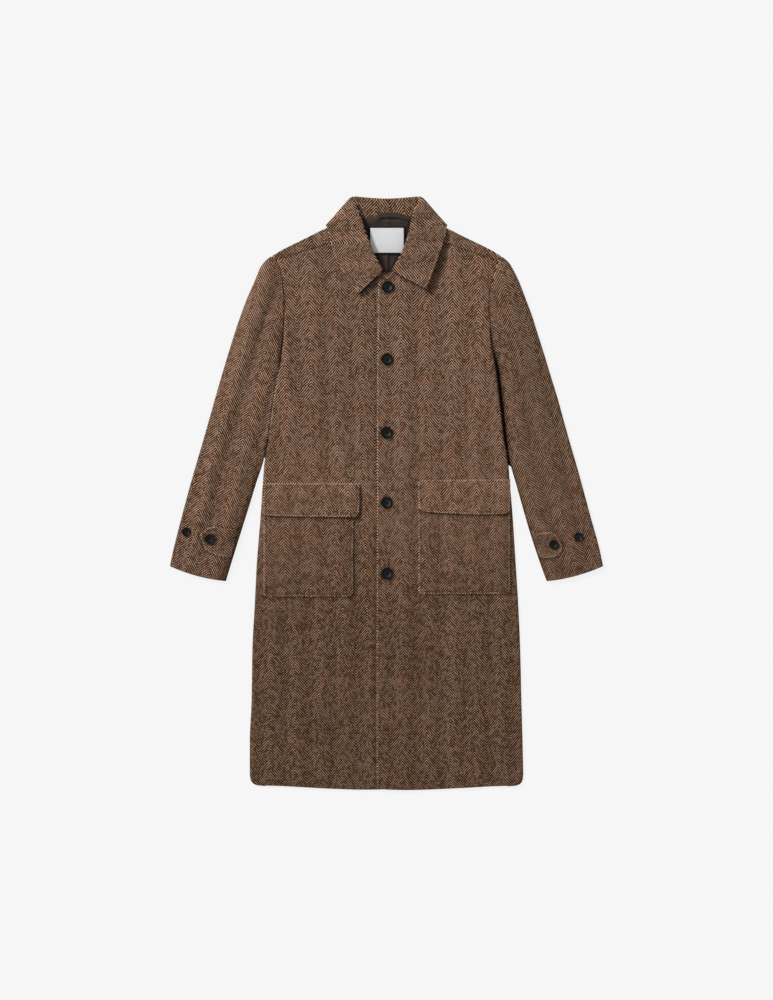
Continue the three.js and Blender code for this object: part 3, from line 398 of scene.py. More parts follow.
def catmull(rows, q):
    rows = np.asarray(rows, float)
    n = len(rows)
    q = np.asarray(q, float)
    k = np.clip(np.floor(q).astype(int), 0, n - 2)
    t = (q - k)[..., None]
    a, b, c, d = rows[np.maximum(k - 1, 0)], rows[k], rows[k + 1], rows[np.minimum(k + 2, n - 1)]
    return 0.5 * (2 * b + (c - a) * t + (2 * a - 5 * b + 4 * c - d) * t ** 2 + (3 * b - a - 3 * c + d) * t ** 3)


def spaced(length, step=STEP, near=NEAR, far=NEAR):
    """Distances from 0 to length: the near ones at both ends and even steps between."""
    near = [d for d in near if d < length * 0.45] or [0]
    far = [d for d in far if d < length * 0.45] or [0]
    a, b = near[-1], length - far[-1]
    n = max(1, int(round((b - a) / step)))
    return np.array(near[:-1] + list(np.linspace(a, b, n + 1)) + [length - d for d in far[:-1]][::-1])


def relief(x, y, creases):
    """Height of the listed creases at a point."""
    x, y = np.asarray(x, float), np.asarray(y, float)
    total = np.zeros(np.broadcast(x, y).shape)
    for pts, reach, height in creases:
        best = np.full(total.shape, 1e9)
        for (x0, y0), (x1, y1) in zip(pts, pts[1:]):
            dx, dy = x1 - x0, y1 - y0
            t = np.clip(((x - x0) * dx + (y - y0) * dy) / (dx * dx + dy * dy), 0, 1)
            ex, ey = x - x0 - t * dx, y - y0 - t * dy
            # a crease reaches further along its line than across it
            l = math.hypot(dx, dy)
            along, across = (ex * dx + ey * dy) / l, (-ex * dy + ey * dx) / l
            best = np.minimum(best, across ** 2 + (along * 0.4) ** 2)
        total += height * np.exp(-2 * best / reach ** 2)
    return total


def unevenness(seed, count, box, reach, height):
    """Low soft swells that keep a large piece from lying dead flat."""
    rng = np.random.RandomState(seed)
    x0, x1, y0, y1 = box
    cx, cy = rng.uniform(x0, x1, count), rng.uniform(y0, y1, count)
    angle = rng.normal(math.pi / 2, 0.35, count)
    long_, wide = reach * rng.uniform(1.2, 3.2, count), reach * rng.uniform(0.5, 1.1, count)
    h = height * rng.uniform(-1, 1, count)

    def at(x, y):
        total = np.zeros(np.broadcast(x, y).shape)
        for k in range(count):
            dx, dy = x - cx[k], y - cy[k]
            u = (dx * math.cos(angle[k]) + dy * math.sin(angle[k])) / long_[k]
            v = (-dx * math.sin(angle[k]) + dy * math.cos(angle[k])) / wide[k]
            total += h[k] * np.exp(-2 * (u * u + v * v))
        return total
    return at


def rim(d, thickness, reach):
    """Half the wall at a distance from the edge: the edge is rounded off."""
    t = 1 - np.clip(np.asarray(d, float) / reach, 0, 1)
    return thickness / 2 * np.sqrt(np.clip(1 - t * t, 0, 1))


def stitched(d, at, depth, half=0.85):
    return -depth * np.exp(-((np.asarray(d, float) - at) / half) ** 2)


def normals(P, wrap=False):
    if wrap:
        dv = np.roll(P, -1, axis=1) - np.roll(P, 1, axis=1)
    else:
        dv = np.gradient(P, axis=1)
    du = np.gradient(P, axis=0)
    n = np.cross(du, dv)
    return n / np.maximum(np.linalg.norm(n, axis=2, keepdims=True), 1e-9)


def rounded(x, y, a, b, r, sx, sy):
    """Moves points in a square corner onto a round one. a and b are the distances from the two sides, sx and sy point inward."""
    dx, dy = np.maximum(r - a, 0), np.maximum(r - b, 0)
    both = (dx > 0) & (dy > 0)
    m, e = np.maximum(dx, dy), np.hypot(dx, dy)
    f = np.where(both, m / np.maximum(e, 1e-9), 1)
    return x + sx * np.where(both, dx * (1 - f), 0), y + sy * np.where(both, dy * (1 - f), 0)


# ---- meshes ----
def make(name, verts, faces, uvs, tone=None):
    verts = np.array(verts, float)
    verts[:, 1] += CENTRE_Y
    me = bpy.data.meshes.new(name)
    me.from_pydata((verts * 0.001).tolist(), [], faces)
    me.validate(clean_customdata=False)
    loops = np.zeros(len(me.loops), np.int64)
    me.loops.foreach_get("vertex_index", loops)
    layer = me.uv_layers.new(name="weave")
    layer.data.foreach_set("uv", np.asarray(uvs, np.float32)[loops].ravel())
    attribute = me.attributes.new("tone", "FLOAT", "POINT")
    attribute.data.foreach_set("value", (np.ones(len(verts)) if tone is None else np.asarray(tone)).astype(np.float32))
    me.polygons.foreach_set("use_smooth", np.ones(len(me.polygons), bool))
    me.update()
    ob = bpy.data.objects.new(name, me)
    bpy.context.scene.collection.objects.link(ob)
    return ob


def shade_at(y, table):
    """A value read off a table of places down the coat."""
    return np.interp(y, [r[0] for r in table], [r[1] for r in table])


def beside(x, y, pts, reach):
    """1 on a line through these points, fading to 0 away from it."""
    best = np.full(np.shape(x), 1e9)
    for (ax, ay), (bx, by) in zip(pts[:-1], pts[1:]):
        l2 = (bx - ax) ** 2 + (by - ay) ** 2
        t = np.clip(((x - ax) * (bx - ax) + (y - ay) * (by - ay)) / l2, 0, 1)
        best = np.minimum(best, np.hypot(x - ax - t * (bx - ax), y - ay - t * (by - ay)))
    return np.exp(-(best / reach) ** 2)


def painted_light_and_shade(x, y):
    """Broad places of painted light and shade in the fronts."""
    out = 0
    for px, py, rx, ry, amount in PAINTED_LIGHT_AND_SHADE:
        out = out + amount * np.exp(-((x - px) / rx) ** 2 - ((y - py) / ry) ** 2)
    return 1 + out


def button_painted_shadow(x, y, places, radius, amount, reach):
    """Painted shadow: the cloth is painted darker close round each button."""
    out = 1.0
    for bx, by in places:
        d = np.clip(np.hypot(x - bx + 0.7, y - by + 0.6) - radius, 0, None)
        out = out * (1 - amount * np.exp(-(d / reach) ** 2))
    return out


def flap_foot(x, left, right, bot_l, bot_r, bow):
    v = np.clip((x - left) / (right - left), 0, 1)
    return bot_l + (bot_r - bot_l) * v - bow * 4 * v * (1 - v)


def wall(M, half, uv, tone=None, wrap=False):
    """A closed wall of cloth round its middle surface M: both faces and a rounded rim, where half is 0."""
    R, C = M.shape[:2]
    N = normals(M, wrap)
    top, bot = M + N * half[..., None], M - N * half[..., None]
    index = np.arange(R * C).reshape(R, C)
    inner = np.zeros((R, C), bool)
    if wrap:
        inner[1:-1, :] = True
    else:
        inner[1:-1, 1:-1] = True
    index_b = index.copy()
    index_b[inner] = R * C + np.arange(inner.sum())
    verts = np.concatenate([top.reshape(-1, 3), bot[inner]])
    uvs = np.concatenate([uv.reshape(-1, 2), uv[inner]])
    tones = None
    if tone is not None:
        tones = np.concatenate([tone.reshape(-1), tone[inner]])

    def quads(ix):
        if wrap:
            ix = np.concatenate([ix, ix[:, :1]], axis=1)
        return np.stack([ix[:-1, :-1], ix[:-1, 1:], ix[1:, 1:], ix[1:, :-1]], axis=-1).reshape(-1, 4)
    q = np.concatenate([quads(index), quads(index_b)[:, ::-1]])
    v = verts[q]
    volume = np.einsum("ij,ij->i", v[:, 0], np.cross(v[:, 1], v[:, 2])).sum() + np.einsum("ij,ij->i", v[:, 0], np.cross(v[:, 2], v[:, 3])).sum()
    if volume < 0:
        q = q[:, ::-1]
    return verts, q.tolist(), uvs, tones


def joined(parts):
    """Several walls as one mesh."""
    verts, faces, uvs, tones, n = [], [], [], [], 0
    for v, q, uv, tone in parts:
        verts.append(v)
        uvs.append(uv)
        tones.append(np.ones(len(v)) if tone is None else tone)
        faces += [[k + n for k in f] for f in q]
        n += len(v)
    return np.concatenate(verts), faces, np.concatenate(uvs), np.concatenate(tones)


# ---- heights, as in the solids ----
def neck_lift(y):
    return NECK_RISE * smooth(y, NECK_FROM, NECK_TO)


def lap_lift(x):
    return LAP_RISE * (1 - smooth(x, LAP_FROM, LAP_TO))


uneven_right = unevenness(11, 46, (-270, 20, -590, 470), 30, 0.55)
uneven_left = unevenness(23, 46, (-20, 270, -590, 470), 30, 0.55)


def front_right_z(x, y):
    """Under face of the wearer's right front."""
    own = relief(x, y, SWELLS) + relief(x, y, FRONT_RIGHT_CREASES) + uneven_right(x, y)
    return WOOL + AIR + neck_lift(y) + np.maximum(own, -0.5 + 0.2 * np.tanh(own)) * smooth(-x, -22, 16)


def front_left_z(x, y):
    """Under face of the wearer's left front, which laps over the right one."""
    own = relief(x, y, SWELLS) + relief(x, y, FRONT_LEFT_CREASES) + uneven_left(x, y)
    return WOOL + AIR + neck_lift(y) + lap_lift(x) + np.maximum(own, -0.5 + 0.2 * np.tanh(own)) * (0.15 + 0.85 * smooth(x, 20, 60))


# ---- weave: stripe periods across, twill lines along ----
Y_GRID = np.linspace(-700, 700, 1401)
LINE_GRID = np.interp(Y_GRID, [-700, -253, -133, 187, 387, 700], [5.3, 5.3, 5.7, 5.85, 5.9, 5.9])
COUNT_GRID = np.concatenate([[0], np.cumsum(2 / (LINE_GRID[1:] + LINE_GRID[:-1]))])
COUNT_GRID -= np.interp(0, Y_GRID, COUNT_GRID)


def lines(y):
    return np.interp(y, Y_GRID, COUNT_GRID)


def weave_front_right(x, y):
    first = np.interp(y, [-293, 107], [-37, -49])
    period = np.interp(y, [-293, 187, 347], [48.6, 50, 52.4])
    return np.stack([(x - first) / period, lines(y)], axis=-1)


def weave_front_left(x, y):
    period = np.interp(y, [-413, -213, 187, 347], [48, 48.6, 48.6, 52])
    return np.stack([(x - 79.6) / period, lines(y) + 0.3], axis=-1)


def weave_peaks(peaks, shift):
    """Stripes whose peaks stand at these places across a small piece."""
    peaks = np.array([peaks[0] - 48.6 * 3] + list(peaks) + [peaks[-1] + 48.6 * 3], float)
    counts = np.array([-3] + list(range(len(peaks) - 2)) + [len(peaks)], float)
    return lambda x, y: np.stack([np.interp(x, peaks, counts), lines(y) + shift], axis=-1)


# ---- fronts ----
def front(name, table, z_of, weave, roll, edge_round, seed):
    table = np.asarray(table, float)
    n = len(table) - 1
    qf = np.linspace(0, n, 4001)
    P = pchip(table, qf)
    step = (np.hypot(np.diff(P[:, 0]), np.diff(P[:, 1])) + np.hypot(np.diff(P[:, 2]), np.diff(P[:, 3]))) / 2
    arc = np.concatenate([[0], np.cumsum(step)])
    s = spaced(arc[-1])
    q = np.interp(s, arc, qf)
    T = pchip(table, q)
    side, edge = T[:, None, :2], T[:, None, 2:]
    length = np.linalg.norm(T[:, :2] - T[:, 2:], axis=1)
    cols = spaced(260.0)
    k_near = len([d for d in NEAR if d < 260 * 0.45])
    C = len(cols)
    D = np.zeros((len(q), C))
    for i, l in enumerate(length):
        row = cols.copy()
        a, b = NEAR[k_near - 1], l - NEAR[k_near - 1]
        m = C - 2 * (k_near - 1)
        row[k_near - 1:k_near - 1 + m] = np.linspace(a, b, m)
        row[k_near - 1 + m:] = l - np.array(NEAR[:k_near - 1])[::-1]
        D[i] = row
    t = D / length[:, None]
    XY = edge + (side - edge) * t[..., None]
    x, y = XY[..., 0], XY[..., 1]
    bow = HEM_BOW * np.clip(1 - q / 5, 0, 1)[:, None]
    y = y - bow * 4 * t * (1 - t) * (1 - t)
    from_hem, from_top = s[:, None], (arc[-1] - s)[:, None]
    d_edge, d_side = D, length[:, None] - D
    d = np.minimum(np.minimum(d_edge, d_side), np.minimum(from_hem, from_top))
    d = np.maximum(d, 0)
    z = z_of(x, y) + WOOL / 2
    # the side edge rolls down to the surface
    R = np.interp(y, *roll)
    fall = np.where(R > 0.5, np.sqrt(np.clip(1 - (1 - np.clip(d_side / np.maximum(R, 0.5), 0, 1)) ** 2, 0, 1)), 1)
    low = np.interp(R, [2.5, 8], [1.0, 0.0])
    z_low = low * z + (1 - low) * 1.5
    z = z_low + (z - z_low) * fall
    # the hem settles on the back
    z = z - 0.5 * (1 - smooth(from_hem, 0, 16))
    z = z + stitched(d_edge, 7.0, 0.22) * smooth(y, 452, 430) if edge_round else z
    # seams sink at the armhole and the shoulder
    z = z - 0.6 * np.exp(-(d_side / 2.6) ** 2) * smooth(y, 250, 330) * (1 - 0.9 * smooth(y, 370, 420)) - 0.7 * np.exp(-(from_top / 2.6) ** 2)
    M = np.stack([x, y, z], axis=-1)
    half = rim(d, WOOL, 2.0)
    # painted shade in the side seam by the armhole and in the shoulder seam
    tone = 1 - 0.14 * np.exp(-(d_side / 2.2) ** 2) * smooth(y, 200, 330) * (1 - 0.9 * smooth(y, 370, 420)) - 0.14 * np.exp(-(from_top / 2.0) ** 2)
    # painted highlight along the turned front edge and painted shade in its stitched line; on the under front, painted
    # shadow beside the lap's edge; and painted shade along the hem
    if edge_round:
        tone = tone + (0.7 * np.exp(-((d_edge - 0.5) / 1.3) ** 2) - 0.16 * np.exp(-((d_edge - 6.4) / 1.6) ** 2)) * smooth(y, 462, 440)
    else:
        tone = tone - 0.3 * np.exp(-((x + 22.5) / 2.6) ** 2) * smooth(y, 440, 420)
    tone = tone - 0.30 * np.exp(-(from_hem / 2.6) ** 2)
    # painted shadow: the cloth is painted darker close beside and under the pockets, flaps, collar leaves and buttons
    # that lie on it
    side_name = "left" if edge_round else "right"
    for who, left, right, top, bottom in POCKETS:
        if who == side_name:
            tone = tone * (1 - 0.40 * beside(x, y, [(right, top - 30), (right, bottom), (left, bottom)], 4.2))
    for who, left, right, top_l, top_r, bot_l, bot_r, arch in FLAPS:
        if who == side_name:
            tone = tone * (1 - 0.45 * beside(x, y, [(right, top_r - 8), (right, bot_r)], 5.0))
    leaf = [(84, 404), (101, 452), (118, 500)] if edge_round else [(-12, 439), (-54, 399)]
    tone = tone * (1 - (0.42 if edge_round else 0.62) * beside(x, y, leaf, 7.0 if edge_round else 6.0))
    if edge_round:
        tone = tone * button_painted_shadow(x, y, FRONT_BUTTONS, 11.0, 0.34, 3.0)
        # painted shade in the gap beside the left sleeve
        tone = tone * (1 - 0.85 * np.exp(-(d_side / 2.8) ** 2) * smooth(y, 346, 318) * smooth(y, 50, 66))
    else:
        # painted light along the right side seam, where the groove by the sleeve would show dark
        tone = tone + 0.85 * np.exp(-(d_side / 2.3) ** 2) * smooth(y, 108, 130) * smooth(y, 252, 232)
    # painted light falloff: the skirt is painted darker than the chest, and broad places are painted lighter or darker
    tone = tone * shade_at(y, BODY_PAINTED_FALLOFF) * painted_light_and_shade(x, y)
    return wall(M, half, weave(x, y), np.broadcast_to(tone, x.shape).copy())


ROLL_RIGHT = ([-600, 40, 95, 240, 300], [8, 8, 3, 2.5, 2.5])
ROLL_LEFT = ([-600, 262, 312], [8, 8, 2.5])
v, f, uv, tone = front("front_right", PANEL_RIGHT, front_right_z, weave_front_right, ROLL_RIGHT, False, 3)
front_right = make("coat_front_right", v, f, uv, tone)
v, f, uv, tone = front("front_left", PANEL_LEFT, front_left_z, weave_front_left, ROLL_LEFT, True, 5)
front_left = make("coat_front_left", v, f, uv, tone)


# ---- back, with the strips that turn over the shoulders ----
def back_panel():
    right, left = np.asarray(PANEL_RIGHT, float)[:, :2], np.asarray(PANEL_LEFT, float)[:, :2]
    top = np.array(BACK_TOP_RIGHT + BACK_TOP_LEFT[::-1], float)
    n = len(right) - 1
    qf = np.linspace(0, n, 3001)
    Rf, Lf = pchip(right, qf), pchip(left, qf)
    arc = np.concatenate([[0], np.cumsum(np.hypot(*np.diff((Rf + Lf) / 2 + 0, axis=0).T) + 0)])
    step = (np.hypot(*np.diff(Rf, axis=0).T) + np.hypot(*np.diff(Lf, axis=0).T)) / 2
    arc = np.concatenate([[0], np.cumsum(step)])
    s = spaced(arc[-1], 6.0, far=[0])
    q = np.interp(s, arc, qf)
    A, B = pchip(right, q), pchip(left, q)
    inset_r = 4.6 * smooth(np.interp(A[:, 1], *ROLL_RIGHT), 3, 8)
    inset_l = 4.6 * smooth(np.interp(B[:, 1], *ROLL_LEFT), 3, 8)
    # under the gap beside the left sleeve the side seam's allowance shows
    A[:, 0] += inset_r
    B[:, 0] -= inset_l
    width = np.linalg.norm(A - B, axis=1)
    share = spaced(540.0, 6.0) / 540.0
    x = A[:, None, 0] + (B - A)[:, None, 0] * share
    y = A[:, None, 1] + (B - A)[:, None, 1] * share
    bow = HEM_BOW * np.clip(1 - q / 5, 0, 1)[:, None]
    y = y - bow * 4 * share * (1 - share)
    y[0] += 1.0
    # up to the shoulders and the neck
    ts = (top[:, 0] - top[0, 0]) / (top[-1, 0] - top[0, 0])
    tx, ty = np.interp(share, ts, top[:, 0]), np.interp(share, ts, top[:, 1])
    extra = [k for k in spaced(60.0, 6.0, near=[0]) / 60.0 if k > 0]
    x = np.concatenate([x] + [(x[-1] + (tx - x[-1]) * k)[None] for k in extra])
    y = np.concatenate([y] + [(y[-1] + (ty - y[-1]) * k)[None] for k in extra])
    s = np.concatenate([s, s[-1] + 60 * np.array(extra)])
    d_side = np.minimum(share, 1 - share)[None] * np.interp(y[:, 0], [-600, 500], [546, 440])[:, None]
    d = np.minimum(np.minimum(s, s[-1] - s)[:, None], d_side)
    z = WOOL / 2 + neck_lift(y)
    # the underside is flat; the middle seam and soft creases are pressed up into it
    own = np.maximum(relief(x, y, BACK_CREASES), 0) * 0.6
    seam = 0.35 * np.exp(-(x / 1.6) ** 2) * smooth(y, 540, 500)
    z = z + np.minimum(own + seam, 0.6) * smooth(d, 2, 20)
    M = np.stack([x, y, z], axis=-1)
    uv = np.stack([x / 50 + 0.5, lines(y)], axis=-1)
    return wall(M, rim(d, WOOL, 2.0), uv)


def shoulder(table, panel):
    """The strip of the back that turns over the shoulder to the seam with the front."""
    table = np.asarray(table, float)
    side_x, side_y, edge_x, edge_y = panel[-1]
    length = math.hypot(edge_x - side_x, edge_y - side_y)
    nx, ny = -(edge_y - side_y) / length, (edge_x - side_x) / length
    up = 1 if ny > 0 else -1
    qf = np.linspace(0, len(table) - 1, 601)
    T = pchip(table, qf)
    arc = np.concatenate([[0], np.cumsum(np.hypot(*np.diff(T[:, 1:], axis=0).T))])
    s = spaced(arc[-1], 4.0)
    T = pchip(table, np.interp(s, arc, qf))
    sx = side_x + (edge_x - side_x) * T[:, 0] + nx * up * 0.15
    sy = side_y + (edge_y - side_y) * T[:, 0] + ny * up * 0.15
    w = np.hypot(sx - T[:, 1], sy - T[:, 2])
    r = (3.55 + 2.1) / 2 / 2
    z_under, z_over = 1.45, WOOL + AIR + WOOL / 2
    mid_z, rad = (z_under + z_over) / 2, (z_over - z_under) / 2
    cx = rad + WOOL / 2
    angles = np.linspace(-90, 90, 13)
    head = [(15.0, z_under), (14.0, z_under), (12.0, z_under), (9.0, z_under), (6.5, z_under)]
    arc_pts = [(cx - rad * math.cos(math.radians(a)), mid_z + rad * math.sin(math.radians(a))) for a in angles]
    flat_share = [0.12, 0.25, 0.4, 0.55, 0.7]
    tail = [6.0, 4.2, 3.0, 2.0, 1.2, 0.6, 0.2, 0.0]
    rows = []
    for i in range(len(s)):
        line = list(head) + list(arc_pts)
        a, b = cx, max(w[i] - 7.8, cx + 1)
        line += [(a + (b - a) * k, z_over) for k in flat_share + [1.0]]
        line += [(w[i] - k, z_over - 0.7 * math.exp(-(k / 2.6) ** 2)) for k in tail]
        line = [(min(d, w[i] * 0.92), z) if z < 4 else (d, z) for d, z in line]
        rows.append(line)
    L = np.array(rows)
    d, z = L[..., 0], L[..., 1]
    t = d / w[:, None]
    x = T[:, None, 1] + (sx - T[:, 1])[:, None] * t
    y = T[:, None, 2] + (sy - T[:, 2])[:, None] * t
    z = z + neck_lift(y) + 0.35 * np.sin(x / 13.0) * np.exp(-((d - w[:, None] * 0.5) / (w[:, None] * 0.3)) ** 2) * (z > 4)
    z = z - 0.3 * np.exp(-(s[:, None] / 3.0) ** 2) * (z > 4)
    M = np.stack([x, y, z], axis=-1)
    across = np.concatenate([np.zeros((len(s), 1)), np.cumsum(np.hypot(np.diff(d, axis=1), np.diff(z, axis=1)), axis=1)], axis=1)
    from_tail = across[:, -1:] - across
    dist = np.minimum(np.minimum(across, from_tail), np.minimum(s, s[-1] - s)[:, None])
    uv = np.stack([x / 50 + 0.5, -lines(y)], axis=-1)
    # painted shade in the shoulder seam and at the strip's end by the armhole
    tone = 1 - 0.14 * np.exp(-(from_tail / 2.0) ** 2) - 0.05 * np.exp(-(s[:, None] / 2.5) ** 2)
    return wall(M, rim(dist, WOOL, 2.0), uv, tone)


v, f, uv, tone = joined([back_panel(), shoulder(SHOULDER_RIGHT, PANEL_RIGHT), shoulder(SHOULDER_LEFT, PANEL_LEFT)])
back = make("coat_back", v, f, uv, tone)


# ---- sleeves ----
def sleeve(table, creases, peak, sign, gap_to, snug, folds, fuller, inner_shade, darker):
    table = np.asarray(table, float)
    n = len(table) - 1
    qf = np.linspace(0, n, 4001)
    P = pchip(table, qf)
    mid = (P[:, :2] + P[:, 2:4]) / 2
    arc = np.concatenate([[0], np.cumsum(np.hypot(*np.diff(mid, axis=0).T))])
    s = spaced(arc[-1], 4.2, near=[0, 0.6, 1.2, 2.0, 3.2, 5.0])
    q = np.interp(s, arc, qf)
    T = pchip(table, q)
    ix, iy, ox, oy, H, crown, close = T.T
    dx, dy = ox - ix, oy - iy
    full = np.hypot(dx, dy)
    dx, dy = dx / full, dy / full
    start = np.interp(close, [0, 1], [0.35, 1.5]) - snug * smooth(iy, 90, 120) * smooth(iy, 290, 250)
    ix, iy, w = ix + dx * start, iy + dy * start, full - start
    half_wall = SLEEVE_WALL / 2
    # ring of the middle surface: inner end, over the top, outer fold, back underneath
    n_in, n_top, n_out = 9, 30, 15
    a_out = np.minimum(9.0, w * 0.3) - half_wall
    fold_in = shade_at(iy, folds)
    a_in = np.minimum((1.9 + (fold_in - 1.9) * np.clip(close, 0, 1)), w * 0.3) - half_wall * np.interp(close, [0, 1], [0.6, 1])
    b = H / 2 - half_wall
    X, Z = [], []
    th_in = np.radians(np.linspace(180, 90, n_in))
    for t in th_in:
        X.append(a_in + half_wall + a_in * np.cos(t)); Z.append(H / 2 + b * np.sin(t))
    for k in np.linspace(0, 1, n_top + 2)[1:-1]:
        X.append((a_in + half_wall) + (w - a_out - half_wall - a_in - half_wall) * k); Z.append(H / 2 + b)
    for t in np.radians(np.linspace(90, -90, n_out)):
        X.append(w - half_wall - a_out + a_out * np.cos(t)); Z.append(H / 2 + b * np.sin(t))
    for k in np.linspace(1, 0, n_top + 2)[1:-1]:
        X.append((a_in + half_wall) + (w - a_out - half_wall - a_in - half_wall) * k); Z.append(H / 2 - b)
    for t in np.radians(np.linspace(270, 180, n_in)[:-1]):
        X.append(a_in + half_wall + a_in * np.cos(t)); Z.append(H / 2 + b * np.sin(t))
    X, Z = np.array(X).T, np.array(Z).T
    share = X / w[:, None]
    end = ramp(q, n - 2, n)
    bow = CUFF_BOW * end[:, None] * 4 * share * (1 - share)
    x = ix[:, None] + dx[:, None] * X
    y = iy[:, None] + dy[:, None] * X - bow
    rise = smooth((Z - H[:, None] / 2) / b[:, None], -0.2, 1.0)
    own = relief(x, y, creases)
    taper = smooth(X, 0, 12) * smooth(w[:, None] - X, 0, 12)
    z = Z + rise * ((crown + fuller * smooth(q, 2, 6))[:, None] * 4 * share * (1 - share) + own * taper)
    # at the armhole the cloth sinks to the seam, and the cap is eased into it with small gathers
    cap = 1 - smooth(q, 6.0, 8.0)[:, None]
    gather = 0.5 * np.sin(np.cumsum(np.full(len(s), 1.0)) * 0.9)[:, None] * np.exp(-(X / 9) ** 2) * cap
    seam = cap * (1 - 0.85 * smooth(y, 370, 420))
    if sign < 0:
        z = z - rise * 1.9 * np.exp(-(X / 10) ** 2) * smooth(y, 95, 125) * smooth(y, 270, 235)
    z = z + rise * (gather - 0.8 * np.exp(-(X / 3.0) ** 2) * seam)
    # the inside may not meet the other side
    M = np.stack([x, y, z], axis=-1)
    ring = np.linalg.norm(np.roll(M, -1, axis=1) - M, axis=2)
    along = np.concatenate([np.zeros((len(s), 1)), np.cumsum(ring, axis=1)[:, :-1]], axis=1)
    top_mid = n_in + n_top // 2
    ax, ay = peak[2], peak[3]                      # unit vector up the sleeve
    px_, py_ = ay, -ax                             # and across it, to +X
    proj = (x[:, top_mid] - peak[0]) * px_ + (y[:, top_mid] - peak[1]) * py_
    U = (proj[:, None] + sign * (along - along[:, top_mid][:, None])) / 49.5
    V = ((x - peak[0]) * ax + (y - peak[1]) * ay) / 5.75
    d = np.minimum(s, s[-1] - s)[:, None] + 0 * x
    half = rim(d, SLEEVE_WALL, 2.0)
    # painted shade in the cap's seam and along the inner edge, and in a crease below the cap
    tone = 1 - 0.16 * np.exp(-(X / 2.4) ** 2) * seam * (rise > 0.3) - inner_shade(y) * np.exp(-(X / 12) ** 2) * (Z > H[:, None] * 0.3)
    tone = tone * (1 - 0.15 * np.exp(-((X - 13) / 10) ** 2) * smooth(y, 355, 385) * smooth(y, 452, 425))
    top_side = smooth(rise, 0.2, 0.5)
    if sign < 0:
        # painted light on a ridge beside the upper armhole, painted shade in a deep place below it, and painted light
        # along the armhole lower down, where the groove would show dark
        tone = tone + 0.24 * np.exp(-((X - 5.5) / 2.6) ** 2) * smooth(y, 306, 330) * smooth(y, 420, 396) * top_side
        tone = tone * (1 - 0.55 * np.exp(-((X - 1.5) / 3.4) ** 2) * smooth(y, 254, 274) * smooth(y, 328, 306) * top_side)
        tone = tone + 0.85 * np.exp(-(X / 2.4) ** 2) * smooth(y, 108, 130) * smooth(y, 252, 232) * top_side
    else:
        # painted shade at the top of the gap beside the body
        tone = tone * (1 - 0.8 * np.exp(-(X / 3.8) ** 2) * smooth(y, 346, 318) * top_side)
    # painted shadow round the cuff tab
    for who, pts in TABS:
        if who == ("right" if sign < 0 else "left"):
            tone = tone * (1 - 0.38 * beside(x, y, pts, 3.6) * top_side)
    # painted light falloff down the sleeve
    tone = tone * shade_at(y, darker)
    parts = [wall(M, half, np.stack([U, V], axis=-1), tone, wrap=True)]
    # seam allowance, which closes the seam from inside
    k = np.where((q > 0.03) & (T[:, 1] > gap_to))[0][::2]
    if len(k) > 4:
        a, c = -7.0, 6.0
        cols = np.linspace(a, c, 8)
        sxx = T[k, 0][:, None] + dx[k][:, None] * cols
        syy = T[k, 1][:, None] + dy[k][:, None] * cols
        top_end = (1 - smooth(q[k], 0.1, 1.0))[:, None] * np.linspace(0, 4.5, 8)
        sxx, syy = sxx + dx[k][:, None] * top_end, syy + dy[k][:, None] * top_end
        first = (1 - smooth(q[k], 0.05, 0.5))[:, None]
        sxx, syy = sxx - sign * 1.6 * first, syy + 2.0 * first
        szz = np.full(sxx.shape, WOOL + 0.4) + neck_lift(syy)
        Ms = np.stack([sxx, syy, szz], axis=-1)
        h = np.full(sxx.shape, 0.22)
        h[0] = h[-1] = 0
        h[:, 0] = h[:, -1] = 0
        # painted shade: the allowance is painted near-black where it shows at the foot of the seam, and close to the
        # wool's own colour where the snug sleeve closes the seam and near the shoulder
        shade = 0.10 + 0.95 * smooth(syy, 112, 130) * smooth(syy, 252, 226) * (snug > 0) + 0.85 * smooth(syy, 440, 462)
        parts.append(wall(Ms, h, np.stack([sxx / 50, syy / 5.7], axis=-1), shade))
    return parts


def unit(x, y):
    l = math.hypot(x, y)
    return x / l, y / l


parts = sleeve(SLEEVE_RIGHT, SLEEVE_RIGHT_CREASES, (-301.6, 247, *unit(0.255, 1)), -1, 66, 1.1, [(30, 16), (110, 2.6), (240, 2.6), (300, 7.5)], 2.0,
               lambda y: 0.52 * smooth(y, 90, 20) - 0.16 * smooth(y, 108, 130) * smooth(y, 262, 240), SLEEVE_RIGHT_PAINTED_FALLOFF)
sleeve_right = make("coat_sleeve_right", *joined(parts))
parts = sleeve(SLEEVE_LEFT, SLEEVE_LEFT_CREASES, (300.2, 156.2, *unit(-0.25, 1)), 1, 262, 0, [(0, 8), (100, 8)], 1.4,
               lambda y: 0.16 * smooth(y, 100, 180) * smooth(y, 380, 300), SLEEVE_LEFT_PAINTED_FALLOFF)
# the allowance at the foot of the gap between the left side seam and the sleeve, painted near-black for the shade in
# the gap
yy = np.linspace(292, 62, 60)
side = np.interp(yy, np.array(PANEL_LEFT)[:, 1], np.array(PANEL_LEFT)[:, 0])
inner = np.interp(yy, np.array(SLEEVE_LEFT)[::-1, 1], np.array(SLEEVE_LEFT)[::-1, 0]) + 2.4
cols = np.linspace(0, 1, 6)
gx = (side - 6)[:, None] + (inner - side + 7)[:, None] * cols
gy = yy[:, None] - 9 * cols * smooth(yy, 130, 62)[:, None]
gz = 0.75 + 0 * gx
h = np.full(gx.shape, 0.45)
h[0] = h[-1] = 0
h[:, 0] = h[:, -1] = 0
parts.append(wall(np.stack([gx, gy, gz], axis=-1), h, np.stack([gx / 50, gy / 5.7], axis=-1), np.full(gx.shape, 0.05)))
sleeve_left = make("coat_sleeve_left", *joined(parts))


